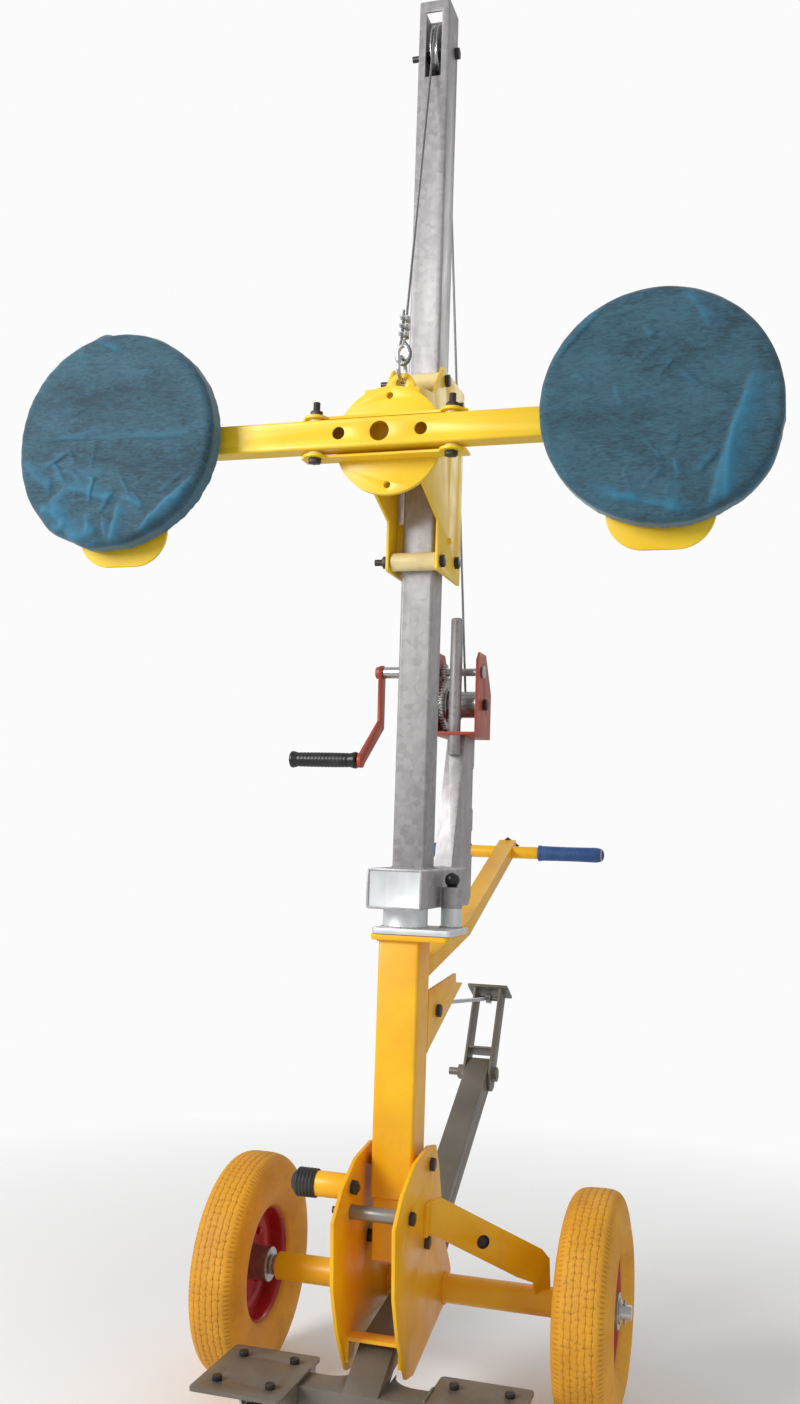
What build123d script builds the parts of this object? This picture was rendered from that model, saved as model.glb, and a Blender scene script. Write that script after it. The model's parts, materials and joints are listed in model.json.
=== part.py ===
"""Panel lift trolley: a slewing mast with a hand winch raises a turning bar with two suction pads.

Millimetres. -Y is the front where the panel is held, +X is to the right as seen from the front
and +Z is up. The floor is z = 0 and the origin is under the middle of the lift.
"""

import math
import os

from build123d import *

os.makedirs("parts", exist_ok=True)

# ---- driving dimensions: running gear ----
axle_y = -132.5  # puts the origin midway between the pads and the push handle
wheel_diameter = 400
tyre_width = 100
bead_diameter = 206
wheel_x = 327  # from the middle to the middle of a wheel
axle_tube_diameter = 50
axle_tube_half = 270
shaft_diameter = 25
running_gap = 0.05  # radial clearance of every turning fit
caster_wheel_diameter = 90
caster_wheel_width = 32
caster_height = 124
caster_trail = 28
caster_x = 184
caster_y = axle_y - 303

# ---- driving dimensions: column, beam and mast ----
column_size = 75
column_y = axle_y - 145
column_bottom = 395
column_top = 833
tube_wall = 4
flange_thickness = 10
slew_pin_diameter = 40
beam_width = 100
beam_height = 70
beam_bottom = 888
beam_front = column_y - 76
beam_rear = axle_y + 100
mast_width = 60
mast_depth = 70
mast_y = axle_y - 105
mast_top = 2610
sheave_diameter = 110
sheave_y = mast_y + 17
sheave_z = 2529
cable_diameter = 5

# ---- driving dimensions: winch ----
crank_y = axle_y + 200
crank_z = 1355
gear_module = 2.5
pinion_teeth = 12
gear_teeth = 43
drum_y = axle_y + 222
drum_core_radius = 27.4
winch_half = 46
crank_arm_x = -170
crank_grip_length = 140

# ---- driving dimensions: carriage and head ----
roller_diameter = 33
roller_gap = 0.4
carriage_inner = 44  # half the space between the side plates
plate = 5
head_y = axle_y - 337  # front face of the turntable
head_z = 1685
turntable_diameter = 190
bar_height = 50
bar_depth = 40
bar_half = 540
pad_x = 464
cover_diameter = 369
cover_depth = 49

mast_half = mast_width / 2
column_half = column_size / 2
axle_z = wheel_diameter / 2
beam_top = beam_bottom + beam_height
cable_radius = cable_diameter / 2


# ---- shared shapes ----
def round_bar(start, end, radius, mode=Mode.ADD):
    """A round bar, or with Mode.SUBTRACT a round hole, from one point to another."""
    start, end = Vector(*start), Vector(*end)
    with BuildSketch(Plane(origin=start, z_dir=end - start)) as section:
        Circle(radius)
    extrude(section.sketch, amount=(end - start).length, mode=mode)


def hex_bar(start, end, across_flats):
    """A hexagonal head or nut from one point to another."""
    start, end = Vector(*start), Vector(*end)
    with BuildSketch(Plane(origin=start, z_dir=end - start)) as section:
        RegularPolygon(across_flats / 2, 6, major_radius=False)
    extrude(section.sketch, amount=(end - start).length)


def block(x_span, y_span, z_span, mode=Mode.ADD, corner=0):
    """A box between two X, two Y and two Z values, with rounded upright edges."""
    middle = ((x_span[0] + x_span[1]) / 2, (y_span[0] + y_span[1]) / 2)
    size = (x_span[1] - x_span[0], y_span[1] - y_span[0])
    with BuildSketch(Plane.XY.offset(z_span[0])) as section:
        with Locations(middle):
            if corner:
                RectangleRounded(*size, corner)
            else:
                Rectangle(*size)
    extrude(section.sketch, amount=z_span[1] - z_span[0], mode=mode)


def side_plate(points, x_span, mode=Mode.ADD, corner=0):
    """A flat plate across X. Its outline is in Y, measured from the axle, and Z."""
    with BuildSketch(Plane.YZ.offset(x_span[0])) as section:
        with BuildLine():
            Polyline(*[(axle_y + y, z) for y, z in points], close=True)
        make_face()
        if corner:
            fillet(section.vertices(), radius=corner)
    extrude(section.sketch, amount=x_span[1] - x_span[0], mode=mode)


def bolt_x(y, z, shank, x_head, x_nut):
    """A bolt across X with its head at one end and a nut with a thread end at the other."""
    out = 1 if x_head > x_nut else -1
    round_bar((x_head, y, z), (x_nut - out * 2.2 * shank, y, z), shank / 2)
    hex_bar((x_head, y, z), (x_head + out * 0.65 * shank, y, z), 1.7 * shank)
    hex_bar((x_nut - out * 0.9 * shank, y, z), (x_nut, y, z), 1.7 * shank)


# ---- axle and wheels ----
hub_half = 42
retainer_gap = 0.6
washer_thickness = 4
pin_hole_x = wheel_x + hub_half + retainer_gap + washer_thickness + 6

leg_pivot = (axle_y + 60, 264)
leg_angle, foot_angle = 31, 62
leg_length = 466.5
leg_size = 50
leg_pin_r = 8
ear_in, ear_out = leg_size / 2 + 1, leg_size / 2 + 6
leg_ear = [(0, 205), (0, 250), (38, 294), (84, 294), (98, 262), (70, 228), (24, 205)]

with BuildPart() as axle_tube:
    for low, high in ((-ear_out, -ear_in), (ear_in, ear_out)):
        side_plate(leg_ear, (low, high))
    round_bar((-axle_tube_half, axle_y, axle_z), (axle_tube_half, axle_y, axle_z), axle_tube_diameter / 2)
    round_bar(
        (-axle_tube_half, axle_y, axle_z),
        (axle_tube_half, axle_y, axle_z),
        shaft_diameter / 2 + 0.5,
        mode=Mode.SUBTRACT,
    )
    round_bar((-40, *leg_pivot), (40, *leg_pivot), leg_pin_r, Mode.SUBTRACT)
axle_tube.part.label = "axle_tube"
export_step(axle_tube.part, "parts/axle_tube.step")

with BuildPart() as axle_shaft:
    shaft_end = pin_hole_x + 12
    round_bar((-shaft_end, axle_y, axle_z), (shaft_end, axle_y, axle_z), shaft_diameter / 2)
    for side in (-1, 1):
        collar_in, collar_out = side * axle_tube_half, side * (wheel_x - hub_half - retainer_gap)
        round_bar((collar_in, axle_y, axle_z), (collar_out, axle_y, axle_z), 18)
        washer_in = side * (wheel_x + hub_half + retainer_gap)
        washer_out = washer_in + side * washer_thickness
        round_bar((washer_in, axle_y, axle_z), (washer_out, axle_y, axle_z), 21)
        round_bar((side * pin_hole_x, axle_y, axle_z - 20), (side * pin_hole_x, axle_y, axle_z + 20), 2.5)
axle_shaft.part.label = "axle_shaft"
export_step(axle_shaft.part, "parts/axle_shaft.step")

for side_name, side in (("left", -1), ("right", 1)):
    wheel_axis = Axis((side * wheel_x, axle_y, axle_z), (side, 0, 0))
    wheel_plane = Plane(origin=(side * wheel_x, axle_y, axle_z), x_dir=(side, 0, 0), z_dir=(0, -side, 0))
    tyre_half, tyre_r, bead_r = tyre_width / 2, wheel_diameter / 2, bead_diameter / 2
    with BuildPart() as tyre:
        with BuildSketch(wheel_plane):
            with BuildLine():
                tread = Spline(
                    (-tyre_half * 0.66, bead_r),
                    (-tyre_half, bead_r + 0.5 * (tyre_r - bead_r)),
                    (-tyre_half * 0.72, tyre_r - 7),
                    (0, tyre_r),
                    (tyre_half * 0.72, tyre_r - 7),
                    (tyre_half, bead_r + 0.5 * (tyre_r - bead_r)),
                    (tyre_half * 0.66, bead_r),
                    tangents=((-0.6, 1), (-0.6, -1)),
                )
                Line(tread @ 1, tread @ 0)
            make_face()
        revolve(axis=wheel_axis)
    tyre.part.label = f"{side_name}_tyre"
    export_step(tyre.part, f"parts/{side_name}_tyre.step")

    rim_half = tyre_half * 0.62
    with BuildPart() as rim:
        with BuildSketch(wheel_plane):
            with Locations((0, bead_r - 3)):
                Rectangle(2 * rim_half, 5.4)
            with Locations((8, (bead_r + 30) / 2)):
                Rectangle(6, bead_r - 30)
            with Locations((0, 20)):
                Rectangle(2 * hub_half, 22)
        revolve(axis=wheel_axis)
        for turn in range(4):
            angle = math.radians(45 + 90 * turn)
            stud = (axle_y + 62 * math.cos(angle), axle_z + 62 * math.sin(angle))
            hex_bar((side * (wheel_x - 2), *stud), (side * (wheel_x + 18), *stud), 13)
        round_bar(
            (side * (wheel_x - hub_half - 1), axle_y, axle_z),
            (side * (wheel_x + hub_half + 1), axle_y, axle_z),
            shaft_diameter / 2 + running_gap,
            mode=Mode.SUBTRACT,
        )
    rim.part.label = f"{side_name}_rim"
    export_step(rim.part, f"parts/{side_name}_rim.step")

# ---- base frame: sloping stem, cross member and caster shelves ----
stem_half = 30
stem_outline = [(0, 210), (-222, 178), (-318, 124), (-318, 84), (-230, 136), (0, 160)]
stem_hollow = [(-20, 203), (-221, 174), (-312, 122), (-312, 92), (-231, 140), (-20, 163)]
cross_half = 106
cross_top = 124
cross_height = 30
cross_rear, cross_front = axle_y - 258, axle_y - 318
cheek_in, cheek_out = 49, 55

with BuildPart() as base_frame:
    side_plate(stem_outline, (-stem_half, stem_half))
    side_plate(stem_hollow, (4 - stem_half, stem_half - 4), Mode.SUBTRACT)
    block((-cross_half, cross_half), (cross_front, cross_rear), (cross_top - cross_height, cross_top))
    with BuildSketch(Plane.XY.offset(cross_top - 8)) as corner_web:
        for side in (-1, 1):
            with BuildLine():
                foot = Line((side * stem_half, cross_rear), (side * (stem_half + 45), cross_rear))
                sweep_in = RadiusArc(foot @ 1, (side * stem_half, cross_rear + 45), side * 45)
                Line(sweep_in @ 1, foot @ 0)
            make_face()
    extrude(amount=8)
    round_bar((-60, axle_y, axle_z), (60, axle_y, axle_z), axle_tube_diameter / 2, Mode.SUBTRACT)
base_frame.part.label = "base_frame"
export_step(base_frame.part, "parts/base_frame.step")

shelf_top = caster_height + 6
shelf_bolt_x, shelf_bolt_y = 46, 54
caster_places = [(side * caster_x, caster_y) for side in (-1, 1)]

with BuildPart() as caster_shelves:
    for side in (-1, 1):
        low, high = sorted((side * cross_half, side * (caster_x + 78)))
        block((low, high), (caster_y - 96, caster_y + 96), (caster_height, shelf_top), corner=8)
        low, high = sorted((side * cross_half, side * (cross_half + 6)))
        block((low, high), (caster_y - 70, caster_y + 70), (cross_top - cross_height, caster_height + 3))
    with Locations(*[(x, y, caster_height) for x, y in caster_places]):
        with GridLocations(2 * shelf_bolt_x, 2 * shelf_bolt_y, 2, 2):
            Cylinder(5.3, 40, mode=Mode.SUBTRACT)
caster_shelves.part.label = "caster_shelves"
export_step(caster_shelves.part, "parts/caster_shelves.step")

# ---- swivel casters ----
race_bottom = caster_height - 22
kingpin_r = 6
caster_axle_r = 5
caster_axle_z = caster_wheel_diameter / 2

with BuildPart() as caster_plates:
    for x, y in caster_places:
        block((x - 60, x + 60), (y - 66, y + 66), (caster_height - 6, caster_height), corner=6)
        round_bar((x, y, race_bottom), (x, y, caster_height - 5), 30)
        round_bar((x, y, race_bottom - 12), (x, y, race_bottom + 2), kingpin_r)
        round_bar((x, y, race_bottom - 14), (x, y, race_bottom - 9.5), 10)
    with Locations(*[(x, y, caster_height) for x, y in caster_places]):
        with GridLocations(2 * shelf_bolt_x, 2 * shelf_bolt_y, 2, 2):
            Cylinder(5.3, 40, mode=Mode.SUBTRACT)
caster_plates.part.label = "caster_plates"
export_step(caster_plates.part, "parts/caster_plates.step")

for (side_name, side), (x, y) in zip((("left", -1), ("right", 1)), caster_places):
    wheel_y = y + caster_trail
    leg_in = caster_wheel_width / 2 + 3
    with BuildPart() as caster_fork:
        round_bar((x, y, race_bottom - 8.5), (x, y, race_bottom - 1), 28)
        round_bar((x, y, race_bottom - 20), (x, y, race_bottom), kingpin_r + running_gap, Mode.SUBTRACT)
        for leg_side in (-1, 1):
            leg = (x + leg_side * leg_in, x + leg_side * (leg_in + 4))
            with BuildSketch(Plane.YZ.offset(min(leg))) as leg_outline:
                with BuildLine():
                    Polyline(
                        (y - 20, race_bottom - 8.5),
                        (y - 20, race_bottom - 1),
                        (y + 20, race_bottom - 1),
                        (wheel_y + 13, caster_axle_z),
                        (wheel_y - 13, caster_axle_z),
                        close=True,
                    )
                make_face()
                with Locations((wheel_y, caster_axle_z)):
                    Circle(13)
            extrude(amount=4)
        side_reach = leg_in + 4
        bolt_x(wheel_y, caster_axle_z, 2 * caster_axle_r, x + side_reach, x - side_reach)
    caster_fork.part.label = f"{side_name}_caster_fork"
    export_step(caster_fork.part, f"parts/{side_name}_caster_fork.step")

    with BuildPart() as caster_wheel:
        half = caster_wheel_width / 2
        round_bar((x - half, wheel_y, caster_axle_z), (x + half, wheel_y, caster_axle_z), caster_wheel_diameter / 2)
        rims = caster_wheel.edges().filter_by(GeomType.CIRCLE)
        fillet(rims, radius=5)
        for face_side in (-1, 1):
            start, end = x + face_side * (half - 5), x + face_side * (half + 1)
            round_bar((start, wheel_y, caster_axle_z), (end, wheel_y, caster_axle_z), 36, Mode.SUBTRACT)
            round_bar((start, wheel_y, caster_axle_z), (end, wheel_y, caster_axle_z), 14)
        round_bar(
            (x - 25, wheel_y, caster_axle_z),
            (x + 25, wheel_y, caster_axle_z),
            caster_axle_r + running_gap,
            Mode.SUBTRACT,
        )
    caster_wheel.part.label = f"{side_name}_caster_wheel"
    export_step(caster_wheel.part, f"parts/{side_name}_caster_wheel.step")

# ---- cheeks that join column, stem and axle ----
cheek_outline = [
    (-140, 480), (-225, 468), (-292, 432), (-332, 388), (-322, 279), (-292, 205), (-240, 128),
    (-200, 121), (-30, 168), (36, 178), (36, 226), (-14, 292), (-70, 436), (-92, 472),
]
saddle_y, saddle_top = axle_y - 236, 186
rod_y, rod_z = axle_y - 246, 385
peg_y, peg_z = axle_y - 246, 425
column_bolt_y, column_bolt_z = axle_y - 125, 446
foot_bolt_z = 320

with BuildPart() as cheek_plates:
    for low, high in ((-cheek_out, -cheek_in), (cheek_in, cheek_out)):
        side_plate(cheek_outline, (low, high))
    block((-cheek_in, cheek_in), (saddle_y - 16, saddle_y + 16), (saddle_top - 6, saddle_top))
    for low, high in ((-cheek_in, 6 - cheek_in), (cheek_in - 6, cheek_in)):
        block((low, high), (saddle_y - 16, saddle_y + 16), (saddle_top - 40, saddle_top - 6))
    round_bar((-60, axle_y, axle_z), (60, axle_y, axle_z), axle_tube_diameter / 2, Mode.SUBTRACT)
    for y, z, radius in ((column_bolt_y, column_bolt_z, 6), (column_y, foot_bolt_z, 6), (rod_y, rod_z, 6)):
        round_bar((-60, y, z), (60, y, z), radius, Mode.SUBTRACT)
    round_bar((-60, peg_y, peg_z), (-40, peg_y, peg_z), 6, Mode.SUBTRACT)
cheek_plates.part.label = "cheek_plates"
export_step(cheek_plates.part, "parts/cheek_plates.step")

# ---- column and foot ----
foot_half = column_half - tube_wall - 0.5
foot_top = column_bottom + 110
gusset_outline = [(-107.5, 741), (84, 755), (88, 738), (139, 732), (-95, 639), (-107.5, 632)]
gusset_bolt_y, gusset_bolt_z = axle_y - 48, 700
column_span = (column_y - column_half, column_y + column_half)

with BuildPart() as column_tube:
    block((-column_half, column_half), column_span, (column_bottom, column_top), corner=6)
    inner = column_half - tube_wall
    block((-inner, inner), (column_y - inner, column_y + inner), (column_bottom, column_top), Mode.SUBTRACT, 2)
    round_bar((-60, column_bolt_y, column_bolt_z), (60, column_bolt_y, column_bolt_z), 6, Mode.SUBTRACT)
    for low, high in ((-column_half, 6 - column_half), (column_half - 6, column_half)):
        side_plate(gusset_outline, (low, high))
    round_bar((-50, gusset_bolt_y, gusset_bolt_z), (50, gusset_bolt_y, gusset_bolt_z), 6, Mode.SUBTRACT)
column_tube.part.label = "column_tube"
export_step(column_tube.part, "parts/column_tube.step")

with BuildPart() as column_foot:
    block((-foot_half, foot_half), (column_y - foot_half, column_y + foot_half), (290, foot_top), corner=4)
    inner = foot_half - tube_wall
    block((-inner, inner), (column_y - inner, column_y + inner), (296, foot_top), Mode.SUBTRACT)
    for y, z in ((column_bolt_y, column_bolt_z), (column_y, foot_bolt_z)):
        round_bar((-60, y, z), (60, y, z), 6, Mode.SUBTRACT)
column_foot.part.label = "column_foot"
export_step(column_foot.part, "parts/column_foot.step")

# ---- slewing joint and index plunger ----
flange_top = column_top + flange_thickness
slew_bottom = flange_top + 1
slew_top = slew_bottom + 10
plunger_x, plunger_y = 72, column_y + 48
plunger_r = 8
slew_pin_top = beam_bottom - 4

with BuildPart() as column_flange:
    block((-50, 92), (column_y - 48, column_y + 75), (column_top, flange_top), corner=10)
    round_bar((0, column_y, flange_top), (0, column_y, slew_pin_top), slew_pin_diameter / 2)
    round_bar(
        (plunger_x, plunger_y, column_top),
        (plunger_x, plunger_y, flange_top),
        plunger_r + running_gap,
        Mode.SUBTRACT,
    )
column_flange.part.label = "column_flange"
export_step(column_flange.part, "parts/column_flange.step")

plunger_top = slew_top + 72
knob_z = plunger_top + 13
with BuildPart() as plunger_pin:
    round_bar((plunger_x, plunger_y, slew_bottom), (plunger_x, plunger_y, knob_z - 8), plunger_r)
plunger_pin.part.label = "plunger_pin"
export_step(plunger_pin.part, "parts/plunger_pin.step")

with BuildPart() as plunger_knob:
    with Locations((plunger_x, plunger_y, knob_z)):
        Sphere(13.5)
    round_bar((plunger_x, plunger_y, knob_z - 20), (plunger_x, plunger_y, knob_z - 8), plunger_r, Mode.SUBTRACT)
plunger_knob.part.label = "plunger_knob"
export_step(plunger_knob.part, "parts/plunger_knob.step")

# ---- slewing beam, mast and winch bracket ----
with BuildPart() as slew_beam:
    half = beam_width / 2
    with BuildSketch(Plane.XZ.offset(-beam_rear)) as beam_section:
        with Locations((0, (beam_bottom + beam_top) / 2)):
            RectangleRounded(beam_width, beam_height, 6)
            RectangleRounded(beam_width - 2 * tube_wall, beam_height - 2 * tube_wall, 2, mode=Mode.SUBTRACT)
    extrude(amount=beam_rear - beam_front)
    with BuildSketch(Plane.XZ.offset(-(beam_front + 6))) as end_plate:
        with Locations((0, (beam_bottom + beam_top) / 2)):
            RectangleRounded(beam_width - 2 * tube_wall, beam_height - 2 * tube_wall, 2)
    extrude(amount=4)
    block((-48, 98), (column_y - 50, column_y + 75), (slew_bottom, slew_top), corner=10)
    round_bar((0, column_y, slew_top), (0, column_y, beam_bottom), 40)
    round_bar((plunger_x, plunger_y, slew_top), (plunger_x, plunger_y, plunger_top), 19)
    round_bar(
        (0, column_y, slew_bottom),
        (0, column_y, slew_pin_top + 1),
        slew_pin_diameter / 2 + running_gap,
        Mode.SUBTRACT,
    )
    round_bar(
        (plunger_x, plunger_y, slew_bottom),
        (plunger_x, plunger_y, plunger_top),
        plunger_r + running_gap,
        Mode.SUBTRACT,
    )
slew_beam.part.label = "slew_beam"
export_step(slew_beam.part, "parts/slew_beam.step")

slot_half = 15.5
slot_bottom, slot_top = sheave_z - 72, sheave_z + 59
mast_front, mast_rear = mast_y - mast_depth / 2, mast_y + mast_depth / 2
sheave_bolt_r = 6

with BuildPart() as mast_tube:
    block((-mast_half, mast_half), (mast_front, mast_rear), (beam_top, mast_top), corner=5)
    inner_x, inner_y = mast_half - tube_wall, mast_depth / 2 - tube_wall
    block((-inner_x, inner_x), (mast_y - inner_y, mast_y + inner_y), (beam_top, mast_top), Mode.SUBTRACT, 1)
    block((-slot_half, slot_half), (mast_front - 5, mast_rear + 5), (slot_bottom, slot_top), Mode.SUBTRACT)
    round_bar((-40, sheave_y, sheave_z), (40, sheave_y, sheave_z), sheave_bolt_r, Mode.SUBTRACT)
mast_tube.part.label = "mast_tube"
export_step(mast_tube.part, "parts/mast_tube.step")

bracket_half = 18
post_y, post_r, post_top = axle_y + 163, 12.5, 1462
bracket_top = 1222
bracket_outline = [(100, 878), (100, beam_top), (182, bracket_top), (266, bracket_top), (266, 896), (248, 878)]
bracket_hollow = [(104, 870), (104, beam_top - 1), (185, bracket_top - 4), (270, bracket_top - 4), (270, 870)]
with BuildPart() as winch_bracket:
    side_plate(bracket_outline, (-bracket_half, bracket_half))
    side_plate(bracket_hollow, (4 - bracket_half, bracket_half - 4), Mode.SUBTRACT)
    for low, high in ((975, 1035), (1070, 1165)):
        scallop = [(258, low + 8), (270, low), (270, high), (258, high - 8)]
        side_plate(scallop, (-bracket_half - 1, bracket_half + 1), Mode.SUBTRACT)
    round_bar((0, post_y, bracket_top - 40), (0, post_y, post_top), post_r)
    tip = winch_bracket.edges().filter_by(GeomType.CIRCLE).sort_by(Axis.Z)[-1]
    fillet(tip, radius=5)
winch_bracket.part.label = "winch_bracket"
export_step(winch_bracket.part, "parts/winch_bracket.step")

# ---- hand winch ----
shaft_distance = gear_module * (gear_teeth + pinion_teeth) / 2
drum_z = crank_z - math.sqrt(shaft_distance**2 - (drum_y - crank_y) ** 2)
frame_plate = 4
winch_floor = bracket_top + 6
drum_bolt_r = 6
crank_shaft_r = 8
gear_x = (-38, -28)

winch_side = [(160, bracket_top), (160, 1376), (178, 1394), (232, 1394), (286, 1318), (286, bracket_top)]
with BuildPart() as winch_frame:
    block((-winch_half, winch_half), (axle_y + 146, axle_y + 290), (bracket_top, winch_floor), corner=6)
    for low, high in ((-winch_half, frame_plate - winch_half), (winch_half - frame_plate, winch_half)):
        side_plate(winch_side, (low, high))
    round_bar((0, post_y, bracket_top), (0, post_y, winch_floor), post_r, Mode.SUBTRACT)
    round_bar((-60, drum_y, drum_z), (60, drum_y, drum_z), drum_bolt_r, Mode.SUBTRACT)
    round_bar((-60, crank_y, crank_z), (60, crank_y, crank_z), crank_shaft_r + running_gap, Mode.SUBTRACT)
winch_frame.part.label = "winch_frame"
export_step(winch_frame.part, "parts/winch_frame.step")


def gear(teeth, centre, x_span, start_angle):
    """A spur gear across X. start_angle is where the first tooth points, in degrees from +Y."""
    pitch_r = gear_module * teeth / 2
    root_r, tip_r = pitch_r - 1.15 * gear_module, pitch_r + 0.85 * gear_module
    root_half, tip_half = 0.40 * math.pi * gear_module * 0.72, 0.16 * math.pi * gear_module * 0.8
    round_bar((x_span[0], *centre), (x_span[1], *centre), root_r)
    for tooth in range(teeth):
        angle = math.radians(start_angle + 360 * tooth / teeth)
        out = (math.cos(angle), math.sin(angle))
        across = (-math.sin(angle), math.cos(angle))
        corners = [(root_r - 1, -root_half), (tip_r, -tip_half), (tip_r, tip_half), (root_r - 1, root_half)]
        with BuildSketch(Plane.YZ.offset(x_span[0])) as tooth_face:
            with BuildLine():
                Polyline(
                    *[
                        (centre[0] + r * out[0] + w * across[0], centre[1] + r * out[1] + w * across[1])
                        for r, w in corners
                    ],
                    close=True,
                )
            make_face()
        extrude(tooth_face.sketch, amount=x_span[1] - x_span[0])


mesh_angle = math.degrees(math.atan2(crank_z - drum_z, crank_y - drum_y))
rope_lay = drum_core_radius + cable_radius + 0.1
rope_pitch = cable_diameter + 0.4
drum_x = (-27, 38)
drum_flange_radius = 38

with BuildPart() as winch_drum:
    gear(gear_teeth, (drum_y, drum_z), gear_x, mesh_angle)
    with BuildSketch(Plane(origin=(0, drum_y, drum_z), x_dir=(1, 0, 0), z_dir=(0, -1, 0))):
        with Locations(((gear_x[0] + drum_x[1]) / 2, drum_core_radius / 2)):
            Rectangle(drum_x[1] - gear_x[0], drum_core_radius)
        with Locations((drum_x[0] + 0.5, drum_flange_radius / 2), (drum_x[1] - 1.5, drum_flange_radius / 2)):
            Rectangle(3, drum_flange_radius)
        with Locations(*[(turn * rope_pitch - 21, drum_core_radius + cable_radius - 0.3) for turn in range(3)]):
            Circle(cable_radius)
    revolve(axis=Axis((0, drum_y, drum_z), (1, 0, 0)))
    round_bar((-60, drum_y, drum_z), (60, drum_y, drum_z), drum_bolt_r + running_gap, Mode.SUBTRACT)
winch_drum.part.label = "winch_drum"
export_step(winch_drum.part, "parts/winch_drum.step")

with BuildPart() as crank_shaft:
    gear(pinion_teeth, (crank_y, crank_z), gear_x, mesh_angle + 180 + 180 / pinion_teeth)
    round_bar((crank_arm_x + 4, crank_y, crank_z), (winch_half + 6, crank_y, crank_z), crank_shaft_r)
    round_bar((-winch_half - 18, crank_y, crank_z), (-winch_half - 2, crank_y, crank_z), 30)
    round_bar((crank_arm_x + 4, crank_y, crank_z), (-winch_half - 18, crank_y, crank_z), 12)
    round_bar((winch_half + 1, crank_y, crank_z), (winch_half + 5, crank_y, crank_z), 13)
crank_shaft.part.label = "crank_shaft"
export_step(crank_shaft.part, "parts/crank_shaft.step")

grip_y, grip_z = axle_y + 80, 1163
arm_face = crank_arm_x - 4
grip_pin_r = 5
grip_start = arm_face - 4
with BuildPart() as crank_arm:
    with BuildSketch(Plane.YZ.offset(arm_face)) as arm_face_sketch:
        with BuildLine():
            Polyline((crank_y, crank_z), (crank_y + 2, 1245), (grip_y, grip_z))
        trace(line_width=26)
        with Locations((crank_y, crank_z), (grip_y, grip_z)):
            Circle(15)
    extrude(amount=8)
    round_bar((arm_face, grip_y, grip_z), (grip_start - crank_grip_length - 1, grip_y, grip_z), grip_pin_r)
    pin_end = grip_start - crank_grip_length - 1
    round_bar((pin_end, grip_y, grip_z), (pin_end - 3, grip_y, grip_z), 8)
    hex_bar((arm_face - 8, crank_y, crank_z), (arm_face, crank_y, crank_z), 22)
crank_arm.part.label = "crank_arm"
export_step(crank_arm.part, "parts/crank_arm.step")

with BuildPart() as crank_grip:
    with BuildSketch(Plane(origin=(grip_start, grip_y, grip_z), x_dir=(-1, 0, 0), z_dir=(0, -1, 0))):
        with BuildLine():
            profile = Spline((0, 17), (14, 14), (crank_grip_length / 2, 14.5), (crank_grip_length - 14, 14),
                             (crank_grip_length, 17))
            inner_r = grip_pin_r + running_gap
            Polyline(profile @ 1, (crank_grip_length, inner_r), (0, inner_r), profile @ 0)
        make_face()
    revolve(axis=Axis((0, grip_y, grip_z), (1, 0, 0)))
crank_grip.part.label = "crank_grip"
export_step(crank_grip.part, "parts/crank_grip.step")

# ---- sheave and wire rope ----
rope_on_sheave = sheave_diameter / 2 - 5
groove_r = rope_on_sheave - cable_radius - 0.1
sheave_half = 7

with BuildPart() as sheave:
    with BuildSketch(Plane(origin=(0, sheave_y, sheave_z), x_dir=(1, 0, 0), z_dir=(0, -1, 0))):
        with BuildLine():
            Polyline(
                (-sheave_half, sheave_bolt_r + running_gap),
                (-sheave_half, sheave_diameter / 2),
                (2 - sheave_half, sheave_diameter / 2),
                (-cable_radius - 0.4, groove_r),
                (cable_radius + 0.4, groove_r),
                (sheave_half - 2, sheave_diameter / 2),
                (sheave_half, sheave_diameter / 2),
                (sheave_half, sheave_bolt_r + running_gap),
                close=True,
            )
        make_face()
    revolve(axis=Axis((0, sheave_y, sheave_z), (1, 0, 0)))
sheave.part.label = "sheave"
export_step(sheave.part, "parts/sheave.step")

# The rope leaves the front of the sheave for the lug and its rear for the back of the drum.
rope_end_y, rope_end_z = axle_y - 255, 1937
reach = math.hypot(rope_end_y - sheave_y, rope_end_z - sheave_z)
front_angle = math.atan2(rope_end_z - sheave_z, rope_end_y - sheave_y) - math.acos(rope_on_sheave / reach)
front_y = sheave_y + rope_on_sheave * math.cos(front_angle)
front_z = sheave_z + rope_on_sheave * math.sin(front_angle)
run_y, run_z = drum_y - sheave_y, drum_z - sheave_z
run = math.hypot(run_y, run_z)
rear_angle = math.atan2(run_z, run_y) + math.acos((rope_on_sheave - rope_lay) / run)
rear_y = sheave_y + rope_on_sheave * math.cos(rear_angle)
rear_z = sheave_z + rope_on_sheave * math.sin(rear_angle)
wound_y = drum_y + rope_lay * math.cos(rear_angle)
wound_z = drum_z + rope_lay * math.sin(rear_angle)

with BuildPart() as front_cable:
    round_bar((0, front_y, front_z), (0, rope_end_y, rope_end_z), cable_radius)
front_cable.part.label = "front_cable"
export_step(front_cable.part, "parts/front_cable.step")

with BuildPart() as rear_cable:
    with BuildLine(Plane.YZ) as rope_path:
        over = ThreePointArc((front_y, front_z), (sheave_y, sheave_z + rope_on_sheave), (rear_y, rear_z))
        Line(over @ 1, (wound_y, wound_z))
    with BuildSketch(Plane(origin=(0, front_y, front_z), z_dir=over % 0)) as rope_section:
        Circle(cable_radius)
    sweep(path=rope_path.line)
rear_cable.part.label = "rear_cable"
export_step(rear_cable.part, "parts/rear_cable.step")

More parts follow.
